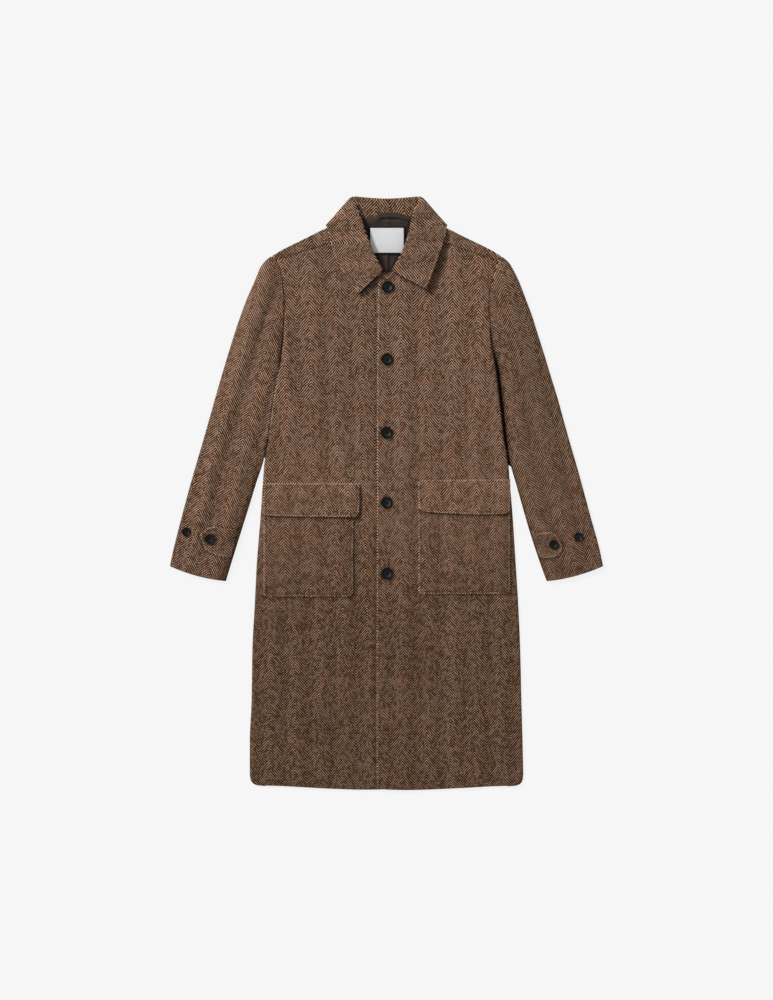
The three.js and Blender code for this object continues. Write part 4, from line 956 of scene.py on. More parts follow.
# ---- collar ----
STATIONS = np.array([list(r) for r in COLLAR_RIGHT] + [list(r) for r in COLLAR_LEFT[::-1]], float)
STATIONS[:4, 8] += LEAF_LIFT_RIGHT
STATIONS[-6:, 8] += LEAF_LIFT_LEFT[::-1]
# rows: neck xyz, roll xyz, edge xyz, half, turn


def collar_point(q, s):
    """Middle surface of the collar. s runs 0 to 1 up the stand, 1 to 2 round the roll, 2 to 3 down the fall."""
    r = catmull(STATIONS, q)
    N, R, E, half, turn = r[..., 0:3], r[..., 3:6], r[..., 6:9], r[..., 9:10], np.radians(r[..., 10:11])

    def norm(a):
        return a / np.maximum(np.linalg.norm(a, axis=-1, keepdims=True), 1e-9)
    up, down = norm(R - N), norm(E - R)
    inward = norm(np.stack([-(E - R)[..., 1], (E - R)[..., 0], np.zeros(q.shape)], axis=-1))
    flip = (inward[..., 0] * (0 - R[..., 0]) + inward[..., 1] * (520 - R[..., 1])) < 0
    inward = np.where(flip[..., None], -inward, inward)
    w = inward * np.sin(turn) + np.array([0, 0, -1.0]) * np.cos(turn)
    S = R - up * half + w * half
    F = R + down * half - w * half
    C1, C2 = S + up * half * 4 / 3, F - down * half * 4 / 3
    t1, t2, t3 = np.clip(s, 0, 1)[..., None], np.clip(s - 1, 0, 1)[..., None], np.clip(s - 2, 0, 1)[..., None]
    stand = N + (S - N) * t1
    bez = S * (1 - t2) ** 3 + 3 * C1 * t2 * (1 - t2) ** 2 + 3 * C2 * t2 ** 2 * (1 - t2) + F * t2 ** 3
    fall = F + (E - F) * t3
    s_ = s[..., None]
    return np.where(s_ <= 1, stand, np.where(s_ <= 2, bez, fall))


def collar():
    qf = np.linspace(0, len(STATIONS) - 1, 3001)
    roll_line = catmull(STATIONS, qf)[:, 3:6]
    edge_line = catmull(STATIONS, qf)[:, 6:9]
    mean = (np.linalg.norm(np.diff(roll_line, axis=0), axis=1) + np.linalg.norm(np.diff(edge_line, axis=0), axis=1)) / 2
    arc = np.concatenate([[0], np.cumsum(mean)])
    ends = [0, 0.2, 0.5, 1.0, 1.7, 2.6, 3.8, 5.0, 6.2, 8.0]
    sa = spaced(arc[-1], 2.9, near=ends, far=ends)
    q = np.interp(sa, arc, qf)
    fall_len = 62.0
    fall = [0, 0.2, 0.5, 1.0, 1.7, 2.6, 3.8, 5.0, 6.2, 8.0]
    s = list(np.linspace(0, 1, 14)) + list(np.linspace(1, 2, 13))[1:] + [2 + (1 - 0) * k for k in np.linspace(0, 1 - 8.0 / fall_len, 18)[1:]]
    s += [3 - d / fall_len for d in fall[:-1][::-1]]
    s = np.array(s)
    Q, S = np.meshgrid(q, s, indexing="ij")
    A = np.minimum(sa, arc[-1] - sa)[:, None] + 0 * Q
    B = (3 - S) * fall_len
    # leaf corners are rounded
    r = 3.2
    dxc, dyc = np.maximum(r - A, 0), np.maximum(r - B, 0)
    both = (dxc > 0) & (dyc > 0)
    m, e = np.maximum(dxc, dyc), np.hypot(dxc, dyc)
    f = np.where(both, m / np.maximum(e, 1e-9), 1)
    side_sign = np.where(np.arange(len(sa)) < len(sa) / 2, 1, -1)[:, None]
    arc_at = sa[:, None] + np.where(both, dxc * (1 - f), 0) * side_sign
    Q = np.interp(arc_at, arc, qf)
    S = S - np.where(both, dyc * (1 - f), 0) / fall_len
    M = collar_point(Q, S)
    d = np.minimum(np.minimum(A, B), np.where(S < 1, S * 40, 99))
    d = np.maximum(d, 0)
    half = rim(d, COLLAR_WALL, 2.0)
    # soft waves and a stitched line inside the edge
    N = normals(M)
    outward = np.where(N[..., 2:3] < 0, -N, N)
    turned = smooth(S, 1.9, 2.3)
    own = relief(M[..., 0], M[..., 1], COLLAR_CREASES) * turned * smooth(B, 3, 14)
    own = own + stitched(np.minimum(A, B), 5.6, 0.25) * (S > 2)
    over = (catmull(STATIONS, Q)[..., 10] < 100)
    M = M + outward * np.where(over, own, 0)[..., None]
    # stripes by the length along the roll line from centre back
    roll_arc = np.concatenate([[0], np.cumsum(np.linalg.norm(np.diff(roll_line, axis=0), axis=1))])
    centre = np.interp(0, roll_line[:, 0], roll_arc)
    U = (np.interp(Q, qf, roll_arc) - centre - 32.2) / 52.0
    across = np.linalg.norm(np.diff(M, axis=1), axis=2)
    across = np.concatenate([np.zeros((len(sa), 1)), np.cumsum(across, axis=1)], axis=1)
    at_roll = across[:, int(14 + 5)][:, None]
    V = (across - at_roll) / 6.8
    # the collar is cut across: on the leaves its stripes lie level
    X, Y = M[..., 0], M[..., 1]
    left_leaf = Y + 0.14 * (-(X + 73)) * smooth(Y, 517, 463)
    right_leaf = Y - 0.2 * (X - 107) * (1 - smooth(Y, 523, 487))
    U_leaf = np.where(X < 0, np.interp(left_leaf, LEAF_RIGHT[0], LEAF_RIGHT[1]), np.interp(right_leaf, LEAF_LEFT[0], LEAF_LEFT[1]))
    V_leaf = X / 5.25
    leaf = S > 1.12
    U, V = np.where(leaf, U_leaf, U), np.where(leaf, V_leaf, V)
    rim_at = np.minimum(A, B)
    # painted highlight along the leaves' edges, painted shade in their stitched line, and painted shade on the stand
    # under the roll
    tone = 1.03 + (0.34 * np.exp(-((rim_at - 1.0) / 1.7) ** 2) - 0.12 * np.exp(-((rim_at - 5.6) / 1.4) ** 2)) * smooth(S, 2.0, 2.2)
    tone = tone - 0.10 * (1 - smooth(S, 0.85, 1.15))
    return wall(M, half, np.stack([U, V], axis=-1), tone)


# where the stripes of the leaves turn, up the coat, and the count of stripes there
LEAF_RIGHT = ([377, 402, 426, 450, 473.5, 499.5, 528.5, 554, 579, 605], [3.5, 3.0, 2.5, 2.0, 1.5, 1.0, 0.5, 0.0, -0.5, -1.0])
LEAF_LEFT = ([402, 429.5, 457.8, 481.8, 511, 533.4, 560, 586, 612], [2.5, 2.0, 1.5, 1.0, 0.5, 0.0, -0.5, -1.0, -1.5])
v, f, uv, tone = collar()
collar_piece = make("coat_collar", v, f, uv, tone)


# ---- patch pockets and flaps ----
def top_of(side):
    z = front_right_z if side == "right" else front_left_z
    return lambda x, y: z(x, y) + WOOL


def pocket(side, left, right, top, bottom):
    w, h = right - left, top - bottom
    cx, cy = spaced(w, 4.0), spaced(h, 4.0)
    X, Y = np.meshgrid(left + cx, bottom + cy)
    a, b = np.minimum(X - left, right - X), Y - bottom
    x, y = rounded(X, Y, a, b, 9.0, np.where(X < (left + right) / 2, 1, -1), 1)
    d = np.minimum(a, np.minimum(b, top - Y))
    own = relief(x, y, POCKET_CREASES[side]) * smooth(d, 3, 22)
    puff = 1.1 * smooth(d, 4, 45) * smooth(top - Y, 0, 30)
    z = top_of(side)(x, y) + 0.45 + TRIM_WALL / 2 + own + puff + stitched(d, 5.2, 0.55, 0.9)
    z = z + 0.18 * np.sin(x / 5.1 + y / 7.3) * np.exp(-((d - 5) / 4) ** 2)
    M = np.stack([x, y, z], axis=-1)
    # painted shadow under the flap's lower edge
    under = 0
    for who, f_left, f_right, top_l, top_r, bot_l, bot_r, arch in FLAPS:
        if who == side:
            under = np.exp(-((flap_foot(x, f_left, f_right, bot_l, bot_r, arch) - y) / 6.0) ** 2)
    weave = weave_peaks([-202, -150.2, -102], 0.4) if side == "right" else weave_peaks([77, 125, 169, 217], 0.1)
    # painted shade in the stitched line, painted highlight along the edge, painted light falloff, painted shadow under
    # the flap, and broad places of painted light and shade
    tone = (1.0 - 0.22 * np.exp(-((d - 5.2) / 1.3) ** 2) + 0.85 * np.exp(-((d - 0.8) / 1.5) ** 2)) * shade_at(y, BODY_PAINTED_FALLOFF) * (1 - 0.5 * under) * painted_light_and_shade(x, y)
    return wall(M, rim(d, TRIM_WALL, 2.0), weave(x, y), tone)


def flap(side, left, right, top_l, top_r, bot_l, bot_r, bow):
    w = right - left
    h = ((top_l + top_r) - (bot_l + bot_r)) / 2
    cx, cy = spaced(w, 4.0), spaced(h, 3.4)
    A, B = np.meshgrid(cx, cy)
    v = A / w
    top = top_l + (top_r - top_l) * v
    bottom = bot_l + (bot_r - bot_l) * v - bow * 4 * v * (1 - v)
    a, b = np.minimum(A, w - A), B * (top - bottom) / h
    X, Y = left + A, bottom + b
    x, y = rounded(X, Y, a, b, 11.0, np.where(v < 0.5, 1, -1), 1)
    x = x + np.where(v < 0.5, 1, -1) * 1.2 * smooth(b, 30, 0) * smooth(a, 20, 0)
    d = np.minimum(a, np.minimum(b, h - B))
    lift = 0.55 + (TRIM_WALL + 1.5) * (1 - ramp(B / h, 0.74, 0.97) ** 1.0)
    own = relief(x, y, FLAP_CREASES[side]) * (1 - ramp(B / h, 0.7, 0.98))
    z = top_of(side)(x, y) + lift + TRIM_WALL / 2 + own + stitched(d, 5.4, 0.5, 0.9)
    z = z - 0.7 * np.exp(-((B - h) / 2.2) ** 2) + 1.2 * smooth(B, 18, 2)
    M = np.stack([x, y, z], axis=-1)
    weave = weave_peaks([-219.8, -175.2, -125.2], 0.75) if side == "right" else weave_peaks([85, 134.2, 179, 229], 0.6)
    # painted shade in the stitched line, painted highlight along the edge, and painted light falloff
    tone = (1.03 - 0.18 * np.exp(-((d - 5.4) / 1.3) ** 2) + 0.85 * np.exp(-((d - 0.8) / 1.5) ** 2)) * shade_at(y, BODY_PAINTED_FALLOFF)
    return wall(M, rim(d, TRIM_WALL, 2.2), weave(x, y), tone)


pockets, flaps = {}, {}
for row in POCKETS:
    v, f, uv, tone = pocket(*row)
    pockets[row[0]] = make("coat_pocket_" + row[0], v, f, uv, tone)
for row in FLAPS:
    v, f, uv, tone = flap(*row)
    flaps[row[0]] = make("coat_flap_" + row[0], v, f, uv, tone)


# ---- lining, label and loop in the neck ----
def lining():
    table = np.asarray([LINING_TOP, (545.2, -58, 60)] + LINING, float)
    q = np.linspace(0, len(table) - 1, 64)
    T = pchip(table, q)
    share = np.linspace(0, 1, 90)
    share = np.sort(np.concatenate([share, np.linspace(0.485, 0.53, 13)]))
    y = T[:, 0][:, None] + 0 * share[None]
    x = T[:, 1][:, None] + (T[:, 2] - T[:, 1])[:, None] * share
    centre = np.interp(y, [443, 545], [3.6, 6.6])
    gap = (x - centre)
    z = WOOL + AIR + neck_lift(y) + LINING_WALL / 2 + 2.4 * smooth(y, 535, 542.5)
    z = z + 0.9 * np.exp(-((gap + 3.5) / 3.2) ** 2) - 0.25 * np.exp(-((gap - 0.4) / 0.9) ** 2)
    z = z + 0.55 * np.exp(-((y - 531 - 0.10 * x) / 2.6) ** 2) * smooth(x, -10, 30)
    z = z + 0.35 * np.exp(-((y - 538 + 0.02 * x) / 2.2) ** 2) + 0.12 * np.sin(x / 7 + y / 13) * smooth(y, 470, 500)
    edge = np.minimum(np.minimum(share, 1 - share)[None] * 80, np.minimum(q, q[-1] - q)[:, None] * 14)
    M = np.stack([x, y, z], axis=-1)
    # painted shade in the centre pleat and under the fold across the top
    tone = 1.06 - 0.95 * np.exp(-((gap - 0.5) / 1.7) ** 2) * smooth(y, 540, 505) - 0.4 * np.exp(-((y - 528.5 - 0.10 * x) / 2.0) ** 2) * smooth(x, -10, 30)
    # painted shadow: darker where the leaves of the collar stand over it
    left = np.interp(y, [443, 478, 509, 535, 558], [-9, -22, -34.8, -43.6, -51.6])
    right = np.interp(y, [443, 481.8, 510.6, 540.2, 563.8], [8, 28.4, 39.2, 46.4, 52])
    tone = tone * (1 - 0.72 * np.exp(-(np.maximum(x - left, 0) / 6.5) ** 2)) * (1 - 0.6 * np.exp(-(np.maximum(right - x, 0) / 4.5) ** 2))
    return wall(M, rim(edge, LINING_WALL, 1.0), np.stack([x, y], axis=-1), np.clip(tone, 0.05, 1))


v, f, uv, tone = lining()
lining_piece = make("neck_lining", v, f, uv, tone)


def label():
    left, right, top, bottom = LABEL
    b = LABEL_BORDER
    left, right, top, bottom = left - b, right + b, top + b, bottom - b
    cx, cy = spaced(right - left, 2.2, near=[0, 0.15, 0.4, 0.8, 1.4, 2.2, 3.0, 3.6, 4.4], far=[0, 0.15, 0.4, 0.8, 1.4, 2.2, 3.0, 3.6, 4.4]), \
        spaced(top - bottom, 2.2, near=[0, 0.15, 0.4, 0.8, 1.4, 2.2, 3.0, 3.6, 4.4], far=[0, 0.15, 0.4, 0.8, 1.4, 2.2, 3.0, 3.6, 4.4])
    X, Y = np.meshgrid(left + cx, bottom + cy)
    d = np.minimum(np.minimum(X - left, right - X), np.minimum(Y - bottom, top - Y))
    z = WOOL + AIR + LINING_WALL + 1.5 + neck_lift(Y) + LINING_WALL / 2
    # the pale face stands above its near-black border
    z = z + 0.45 * smooth(d, b - 0.6, b + 0.3) + 0.5 * smooth(d, 4, 18) + 0.16 * np.sin(X / 9.0 + 1.2) * smooth(d, 2, 12)
    M = np.stack([X, Y, z], axis=-1)
    uv = np.stack([(X - left) / (right - left), (Y - bottom) / (top - bottom)], axis=-1)
    return wall(M, rim(d, LINING_WALL, 0.9), uv, d)


v, f, uv, tone = label()
label_piece = make("neck_tape", v, f, uv, tone)


def loop():
    T = np.asarray(LOOP, float)
    q = np.linspace(0, len(T) - 1, 90)
    P = catmull(T, q)
    dx, dy = np.gradient(P[:, 0]), np.gradient(P[:, 1])
    l = np.hypot(dx, dy)
    nx, ny = -dy / l, dx / l
    half = P[:, 2]
    share = np.array([-1, -0.97, -0.9, -0.78, -0.6, -0.3, 0, 0.3, 0.6, 0.78, 0.9, 0.97, 1])
    x = P[:, 0][:, None] + nx[:, None] * half[:, None] * share
    y = P[:, 1][:, None] + ny[:, None] * half[:, None] * share
    stand = np.interp(P[:, 1], [543, 590], [9.9, 9.3])
    z = (stand + 0.5 + P[:, 3] + LOOP_WALL / 2)[:, None] + 0.35 * (1 - share ** 2)
    arc = np.concatenate([[0], np.cumsum(l[1:])])
    d = np.minimum((1 - np.abs(share))[None] * half[:, None], np.minimum(arc, arc[-1] - arc)[:, None])
    M = np.stack([x, y, z], axis=-1)
    uv = np.stack([np.broadcast_to(arc[:, None], x.shape), share[None] * half[:, None]], axis=-1)
    return wall(M, rim(d, LOOP_WALL, 0.9), uv)


v, f, uv, tone = loop()
loop_piece = make("neck_loop", v, f, uv, tone)


# ---- cuff tabs ----
def round_outline(points, radii, count):
    """A closed outline with its corners rounded, in even steps."""
    pts = [np.array(p, float) for p in points]
    out = []
    n = len(pts)
    for i, p in enumerate(pts):
        a, b = pts[i - 1] - p, pts[(i + 1) % n] - p
        la, lb = np.linalg.norm(a), np.linalg.norm(b)
        cut = min(radii[i], la * 0.45, lb * 0.45)
        s, e = p + a / la * cut, p + b / lb * cut
        for t in np.linspace(0, 1, 9):
            out.append(s * (1 - t) ** 2 + 2 * p * t * (1 - t) + e * t * t)
    out = np.array(out)
    closed = np.concatenate([out, out[:1]])
    arc = np.concatenate([[0], np.cumsum(np.linalg.norm(np.diff(closed, axis=0), axis=1))])
    at = np.linspace(0, arc[-1], count, endpoint=False)
    return np.stack([np.interp(at, arc, closed[:, 0]), np.interp(at, arc, closed[:, 1])], axis=-1)


def sleeve_top(side, x, y):
    """Height of the sleeve's upper face near the cuff."""
    creases = SLEEVE_RIGHT_CREASES if side == "right" else SLEEVE_LEFT_CREASES
    table = np.asarray(SLEEVE_RIGHT if side == "right" else SLEEVE_LEFT, float)
    mid_y = (table[:, 1] + table[:, 3]) / 2
    H = np.interp(y, mid_y[::-1], table[::-1, 4])
    crown = np.interp(y, mid_y[::-1], table[::-1, 5])
    return H + crown * 0.9 + np.maximum(relief(x, y, creases), 0)


def tab(side, points):
    outline = round_outline(points, [3, 9, 7, 7, 7, 3], 150)
    c = np.array([outline[:, 0].mean(), outline[:, 1].mean()])
    reach = np.linalg.norm(outline - c, axis=1)
    apothem = 23.0
    ds = np.array([0, 0.2, 0.6, 1.2, 2.0, 3.0, 4.0, 4.7, 5.4, 6.2, 7.6, 10, 13, 16, 19, 21.5])
    f_ = 1 - ds / apothem
    XY = c + (outline - c)[None] * f_[:, None, None]
    x, y = XY[..., 0], XY[..., 1]
    d = ds[:, None] + 0 * x
    root = points[0][0], (points[0][1] + points[-1][1]) / 2
    sgn = -1 if side == "right" else 1
    away = sgn * (x - root[0])
    z = sleeve_top(side, x, y) + 0.9 + TRIM_WALL / 2 + 1.0 * smooth(away, 25, 62) + stitched(d, 4.8, 0.45, 0.8) + 0.5 * np.sin(away / 9) * smooth(d, 2, 10)
    z = z - 1.0 * np.exp(-((away - 2) / 4.0) ** 2)
    M = np.stack([x, y, z], axis=-1)
    half = rim(d, TRIM_WALL, 1.9)
    uv = np.stack([(y - root[1]) / 47 + 0.27, away / 5.6], axis=-1)
    R, C = M.shape[:2]
    N = normals(M, True)
    N = np.where(N[..., 2:3] < 0, -N, N)
    top, bot = M + N * half[..., None], M - N * half[..., None]
    verts = list(top.reshape(-1, 3)) + list(bot[1:].reshape(-1, 3))
    uvs = list(uv.reshape(-1, 2)) + list(uv[1:].reshape(-1, 2))
    it = np.arange(R * C).reshape(R, C)
    ib = np.concatenate([it[:1], R * C + np.arange((R - 1) * C).reshape(R - 1, C)])
    centre_t, centre_b = len(verts), len(verts) + 1
    verts += [top[-1].mean(axis=0), bot[-1].mean(axis=0)]
    uvs += [uv[-1].mean(axis=0)] * 2
    faces = []
    for ix, flip in ((it, False), (ib, True)):
        nx = np.roll(ix, -1, axis=1)
        q = np.stack([ix[:-1], nx[:-1], nx[1:], ix[1:]], axis=-1).reshape(-1, 4)
        tri = [[int(ix[-1][k]), int(nx[-1][k]), centre_b if flip else centre_t] for k in range(C)]
        q = q.tolist() + tri
        faces += [list(reversed(p)) for p in q] if flip else q
    v = np.array(verts)
    vol = sum(np.dot(v[p[0]], np.cross(v[p[1]], v[p[2]])) + (np.dot(v[p[0]], np.cross(v[p[2]], v[p[3]])) if len(p) == 4 else 0) for p in faces)
    if vol < 0:
        faces = [list(reversed(p)) for p in faces]
    from_root = smooth(away, 5, 20)
    # the tab's cloth is coloured at 0.8, with a painted highlight along its edge away from the root and painted shade
    # in its stitched line; the right tab is painted darker toward its root, and painted shadow lies round each button
    shade = 0.80 + 0.52 * from_root * np.exp(-((d - 0.9) / 1.5) ** 2) - 0.12 * np.exp(-((d - 4.8) / 1.2) ** 2) * from_root
    if side == "right":
        shade = shade * (1 - 0.34 * (1 - smooth(away, 2, 20)))
    own = [(bx, by) for name, bx, by, on in CUFF_BUTTONS if name == "button_tab_" + side]
    shade = shade * button_painted_shadow(x, y, own, 8.6, 0.62 if side == "right" else 0.4, 2.6)
    shades = np.concatenate([shade.reshape(-1), shade[1:].reshape(-1), [1.0, 1.0]])
    return v, faces, np.array(uvs), shades


tabs = {}
for side_name, pts in TABS:
    v, f, uv, tone = tab(side_name, pts)
    tabs[side_name] = make("coat_tab_" + side_name, v, f, uv, tone)


# ---- buttons ----
def button_mesh(name, radius, height):
    """Turned profile with a rolled rim, a dished middle and four drilled holes, and the thread through them."""
    segments = 72
    profile = [(0.02, 0.62), (0.15, 0.61), (0.34, 0.60), (0.46, 0.605), (0.55, 0.625), (0.61, 0.67), (0.65, 0.75), (0.70, 0.86), (0.75, 0.94),
               (0.81, 0.99), (0.87, 1.0), (0.92, 0.97), (0.965, 0.89), (0.99, 0.76), (1.0, 0.6), (0.99, 0.44), (0.965, 0.3), (0.92, 0.18),
               (0.84, 0.08), (0.72, 0.02), (0.55, 0.0), (0.3, 0.0), (0.02, 0.0)]
    bm = bmesh.new()
    rings = []
    for r, h in profile:
        rings.append([bm.verts.new((radius * r * math.cos(2 * math.pi * k / segments), radius * r * math.sin(2 * math.pi * k / segments), height * h)) for k in range(segments)])
    for a, b in zip(rings, rings[1:]):
        for k in range(segments):
            bm.faces.new((a[k], a[(k + 1) % segments], b[(k + 1) % segments], b[k]))
    bm.faces.new(rings[0])
    bm.faces.new(list(reversed(rings[-1])))
    bmesh.ops.recalc_face_normals(bm, faces=bm.faces)
    me = bpy.data.meshes.new(name)
    bm.to_mesh(me)
    bm.free()
    body = bpy.data.objects.new(name, me)
    bpy.context.scene.collection.objects.link(body)
    bm = bmesh.new()
    for sx, sy in ((1, 1), (1, -1), (-1, 1), (-1, -1)):
        got = bmesh.ops.create_cone(bm, cap_ends=True, segments=16, radius1=radius * 0.1, radius2=radius * 0.1, depth=height * 3)
        bmesh.ops.translate(bm, verts=got["verts"], vec=(sx * radius * 0.2, sy * radius * 0.2, height * 0.5))
    cut = bpy.data.meshes.new("drill")
    bm.to_mesh(cut)
    bm.free()
    drill = bpy.data.objects.new("drill", cut)
    bpy.context.scene.collection.objects.link(drill)
    mod = body.modifiers.new("holes", "BOOLEAN")
    mod.operation, mod.object, mod.solver = "DIFFERENCE", drill, "EXACT"
    bpy.context.view_layer.update()
    final = bpy.data.meshes.new_from_object(body.evaluated_get(bpy.context.evaluated_depsgraph_get()))
    bpy.data.objects.remove(body)
    bpy.data.objects.remove(drill)
    # thread: two bars of twisted sewing thread over the middle, each going down its holes
    bm = bmesh.new()
    bm.from_mesh(final)
    n_plastic = len(bm.faces)
    for sy in (1, -1):
        for strand in (-1, 1):
            path = []
            for t in np.linspace(-1, 1, 17):
                rise = height * (0.60 + 0.16 * (1 - abs(t) ** 4)) if abs(t) < 0.98 else height * 0.4
                path.append((radius * 0.2 * t * 1.0, radius * (0.2 * sy) + strand * radius * 0.03, rise))
            tube = []
            for i, p in enumerate(path):
                ring = []
                for k in range(7):
                    a = 2 * math.pi * k / 7 + i * 0.7
                    ring.append(bm.verts.new((p[0], p[1] + radius * 0.032 * math.cos(a), p[2] + radius * 0.032 * math.sin(a))))
                tube.append(ring)
            for a, b in zip(tube, tube[1:]):
                for k in range(7):
                    bm.faces.new((a[k], b[k], b[(k + 1) % 7], a[(k + 1) % 7])).material_index = 1
            bm.faces.new(tube[0]).material_index = 1
            bm.faces.new(list(reversed(tube[-1]))).material_index = 1
    bmesh.ops.recalc_face_normals(bm, faces=bm.faces)
    bm.to_mesh(final)
    bm.free()
    for p in final.polygons:
        p.use_smooth = True
    final.set_sharp_from_angle(angle=math.radians(38))
    # painted reflection: the dish is coloured three times lighter than the rim, and its slope facing the key light gets
    # a painted highlight
    shade = []
    for p in final.vertices:
        out = math.hypot(p.co.x, p.co.y) / radius
        facing = (p.co.x - p.co.y) / radius / 1.414 / max(out, 0.05)
        lit = 2.6 * max(0.0, facing) ** 2 * math.exp(-((out - 0.52) / 0.16) ** 2)
        shade.append((0.75 if out < 0.63 else 0.25) + lit)
    final.attributes.new("tone", "FLOAT", "POINT").data.foreach_set("value", shade)
    final.transform(Matrix.Scale(0.001, 4))
    return final



big = button_mesh("button_big", BUTTON_R, BUTTON_H)
small = button_mesh("button_small", CUFF_BUTTON_R, CUFF_BUTTON_H)
buttons = []


def place_button(name, mesh, x, y, z, turn, tilt_x, tilt_y):
    me = mesh.copy()
    me.transform(Matrix.Translation((x * 0.001, (y + CENTRE_Y) * 0.001, z * 0.001)) @ Matrix.Rotation(math.radians(tilt_x), 4, "X")
                 @ Matrix.Rotation(math.radians(tilt_y), 4, "Y") @ Matrix.Rotation(math.radians(turn), 4, "Z"))
    ob = bpy.data.objects.new(name, me)
    bpy.context.scene.collection.objects.link(ob)
    buttons.append(ob)
    return ob


placed = {}
for i, ((bx, by), (turn, tx, ty)) in enumerate(zip(FRONT_BUTTONS, [(12, 1.5, -1), (40, -1, 1.5), (-20, 1, 1), (30, 0.5, -1.5), (5, -1.2, 0.6)])):
    z = float(front_left_z(np.array(bx), np.array(by))) + WOOL + 0.35
    placed[f"button_front_{i + 1}"] = place_button(f"button_front_{i + 1}_piece", big, bx, by, z, turn, tx, ty)
for (name, bx, by, on_tab), (turn, tx, ty) in zip(CUFF_BUTTONS, [(24, 1, -1), (50, -1, 1), (-15, 1, 1), (33, -1, -1)]):
    side_name = "right" if name.endswith("right") else "left"
    z = float(sleeve_top(side_name, np.array(bx), np.array(by))) + 0.5
    if on_tab:
        z += 0.9 + TRIM_WALL + 1.3
    placed[name] = place_button(name + "_piece", small, bx, by, z, turn, tx, ty)


# ---- materials ----
class Graph:
    def __init__(self, name):
        self.material = bpy.data.materials.new(name)
        self.material.use_nodes = True
        self.tree = self.material.node_tree
        self.tree.nodes.clear()
        self.out = self.add("ShaderNodeOutputMaterial")

    def add(self, kind, inputs=(), **props):
        n = self.tree.nodes.new(kind)
        for k, v in props.items():
            setattr(n, k, v)
        for k, v in dict(inputs).items():
            self.put(n, k, v)
        return n

    def put(self, n, socket, value):
        if isinstance(value, bpy.types.NodeSocket):
            self.tree.links.new(value, n.inputs[socket])
        else:
            n.inputs[socket].default_value = value

    def math(self, op, a, b=0.0, c=0.0, clamp=False):
        n = self.add("ShaderNodeMath", {0: a, 1: b, 2: c}, operation=op)
        n.use_clamp = clamp
        return n.outputs[0]

    def noise(self, vector, scale, detail=2.0, rough=0.5, dims="3D"):
        n = self.add("ShaderNodeTexNoise", {"Vector": vector, "Scale": scale, "Detail": detail, "Roughness": rough}, noise_dimensions=dims)
        return n.outputs["Fac"]

    def ranged(self, value, a, b, c, d):
        n = self.add("ShaderNodeMapRange", {"Value": value, "From Min": a, "From Max": b, "To Min": c, "To Max": d})
        return n.outputs["Result"]

    def ramp(self, value, stops, interpolation="LINEAR"):
        n = self.add("ShaderNodeValToRGB", {0: value})
        e = n.color_ramp.elements
        n.color_ramp.interpolation = interpolation
        e[0].position, e[0].color = stops[0][0], (*stops[0][1], 1)
        e[1].position, e[1].color = stops[-1][0], (*stops[-1][1], 1)
        for p, c in stops[1:-1]:
            x = e.new(p)
            x.color = (*c, 1)
        return n.outputs["Color"]

    def times(self, a, b, factor=1.0):
        n = self.add("ShaderNodeMix", data_type="RGBA", blend_type="MULTIPLY")
        self.put(n, 0, factor)
        self.put(n, 6, a)
        self.put(n, 7, b)
        return n.outputs[2]

    def mixed(self, factor, a, b):
        n = self.add("ShaderNodeMix", data_type="RGBA", blend_type="MIX")
        self.put(n, 0, factor)
        self.put(n, 6, a)
        self.put(n, 7, b)
        return n.outputs[2]

    def grey(self, value):
        n = self.add("ShaderNodeCombineColor", {0: value, 1: value, 2: value})
        return n.outputs[0]


GAP = (0.015, 0.0042, 0.0011)
BROWN = (0.143, 0.0575, 0.0215)
TAN = (0.55, 0.356, 0.250)


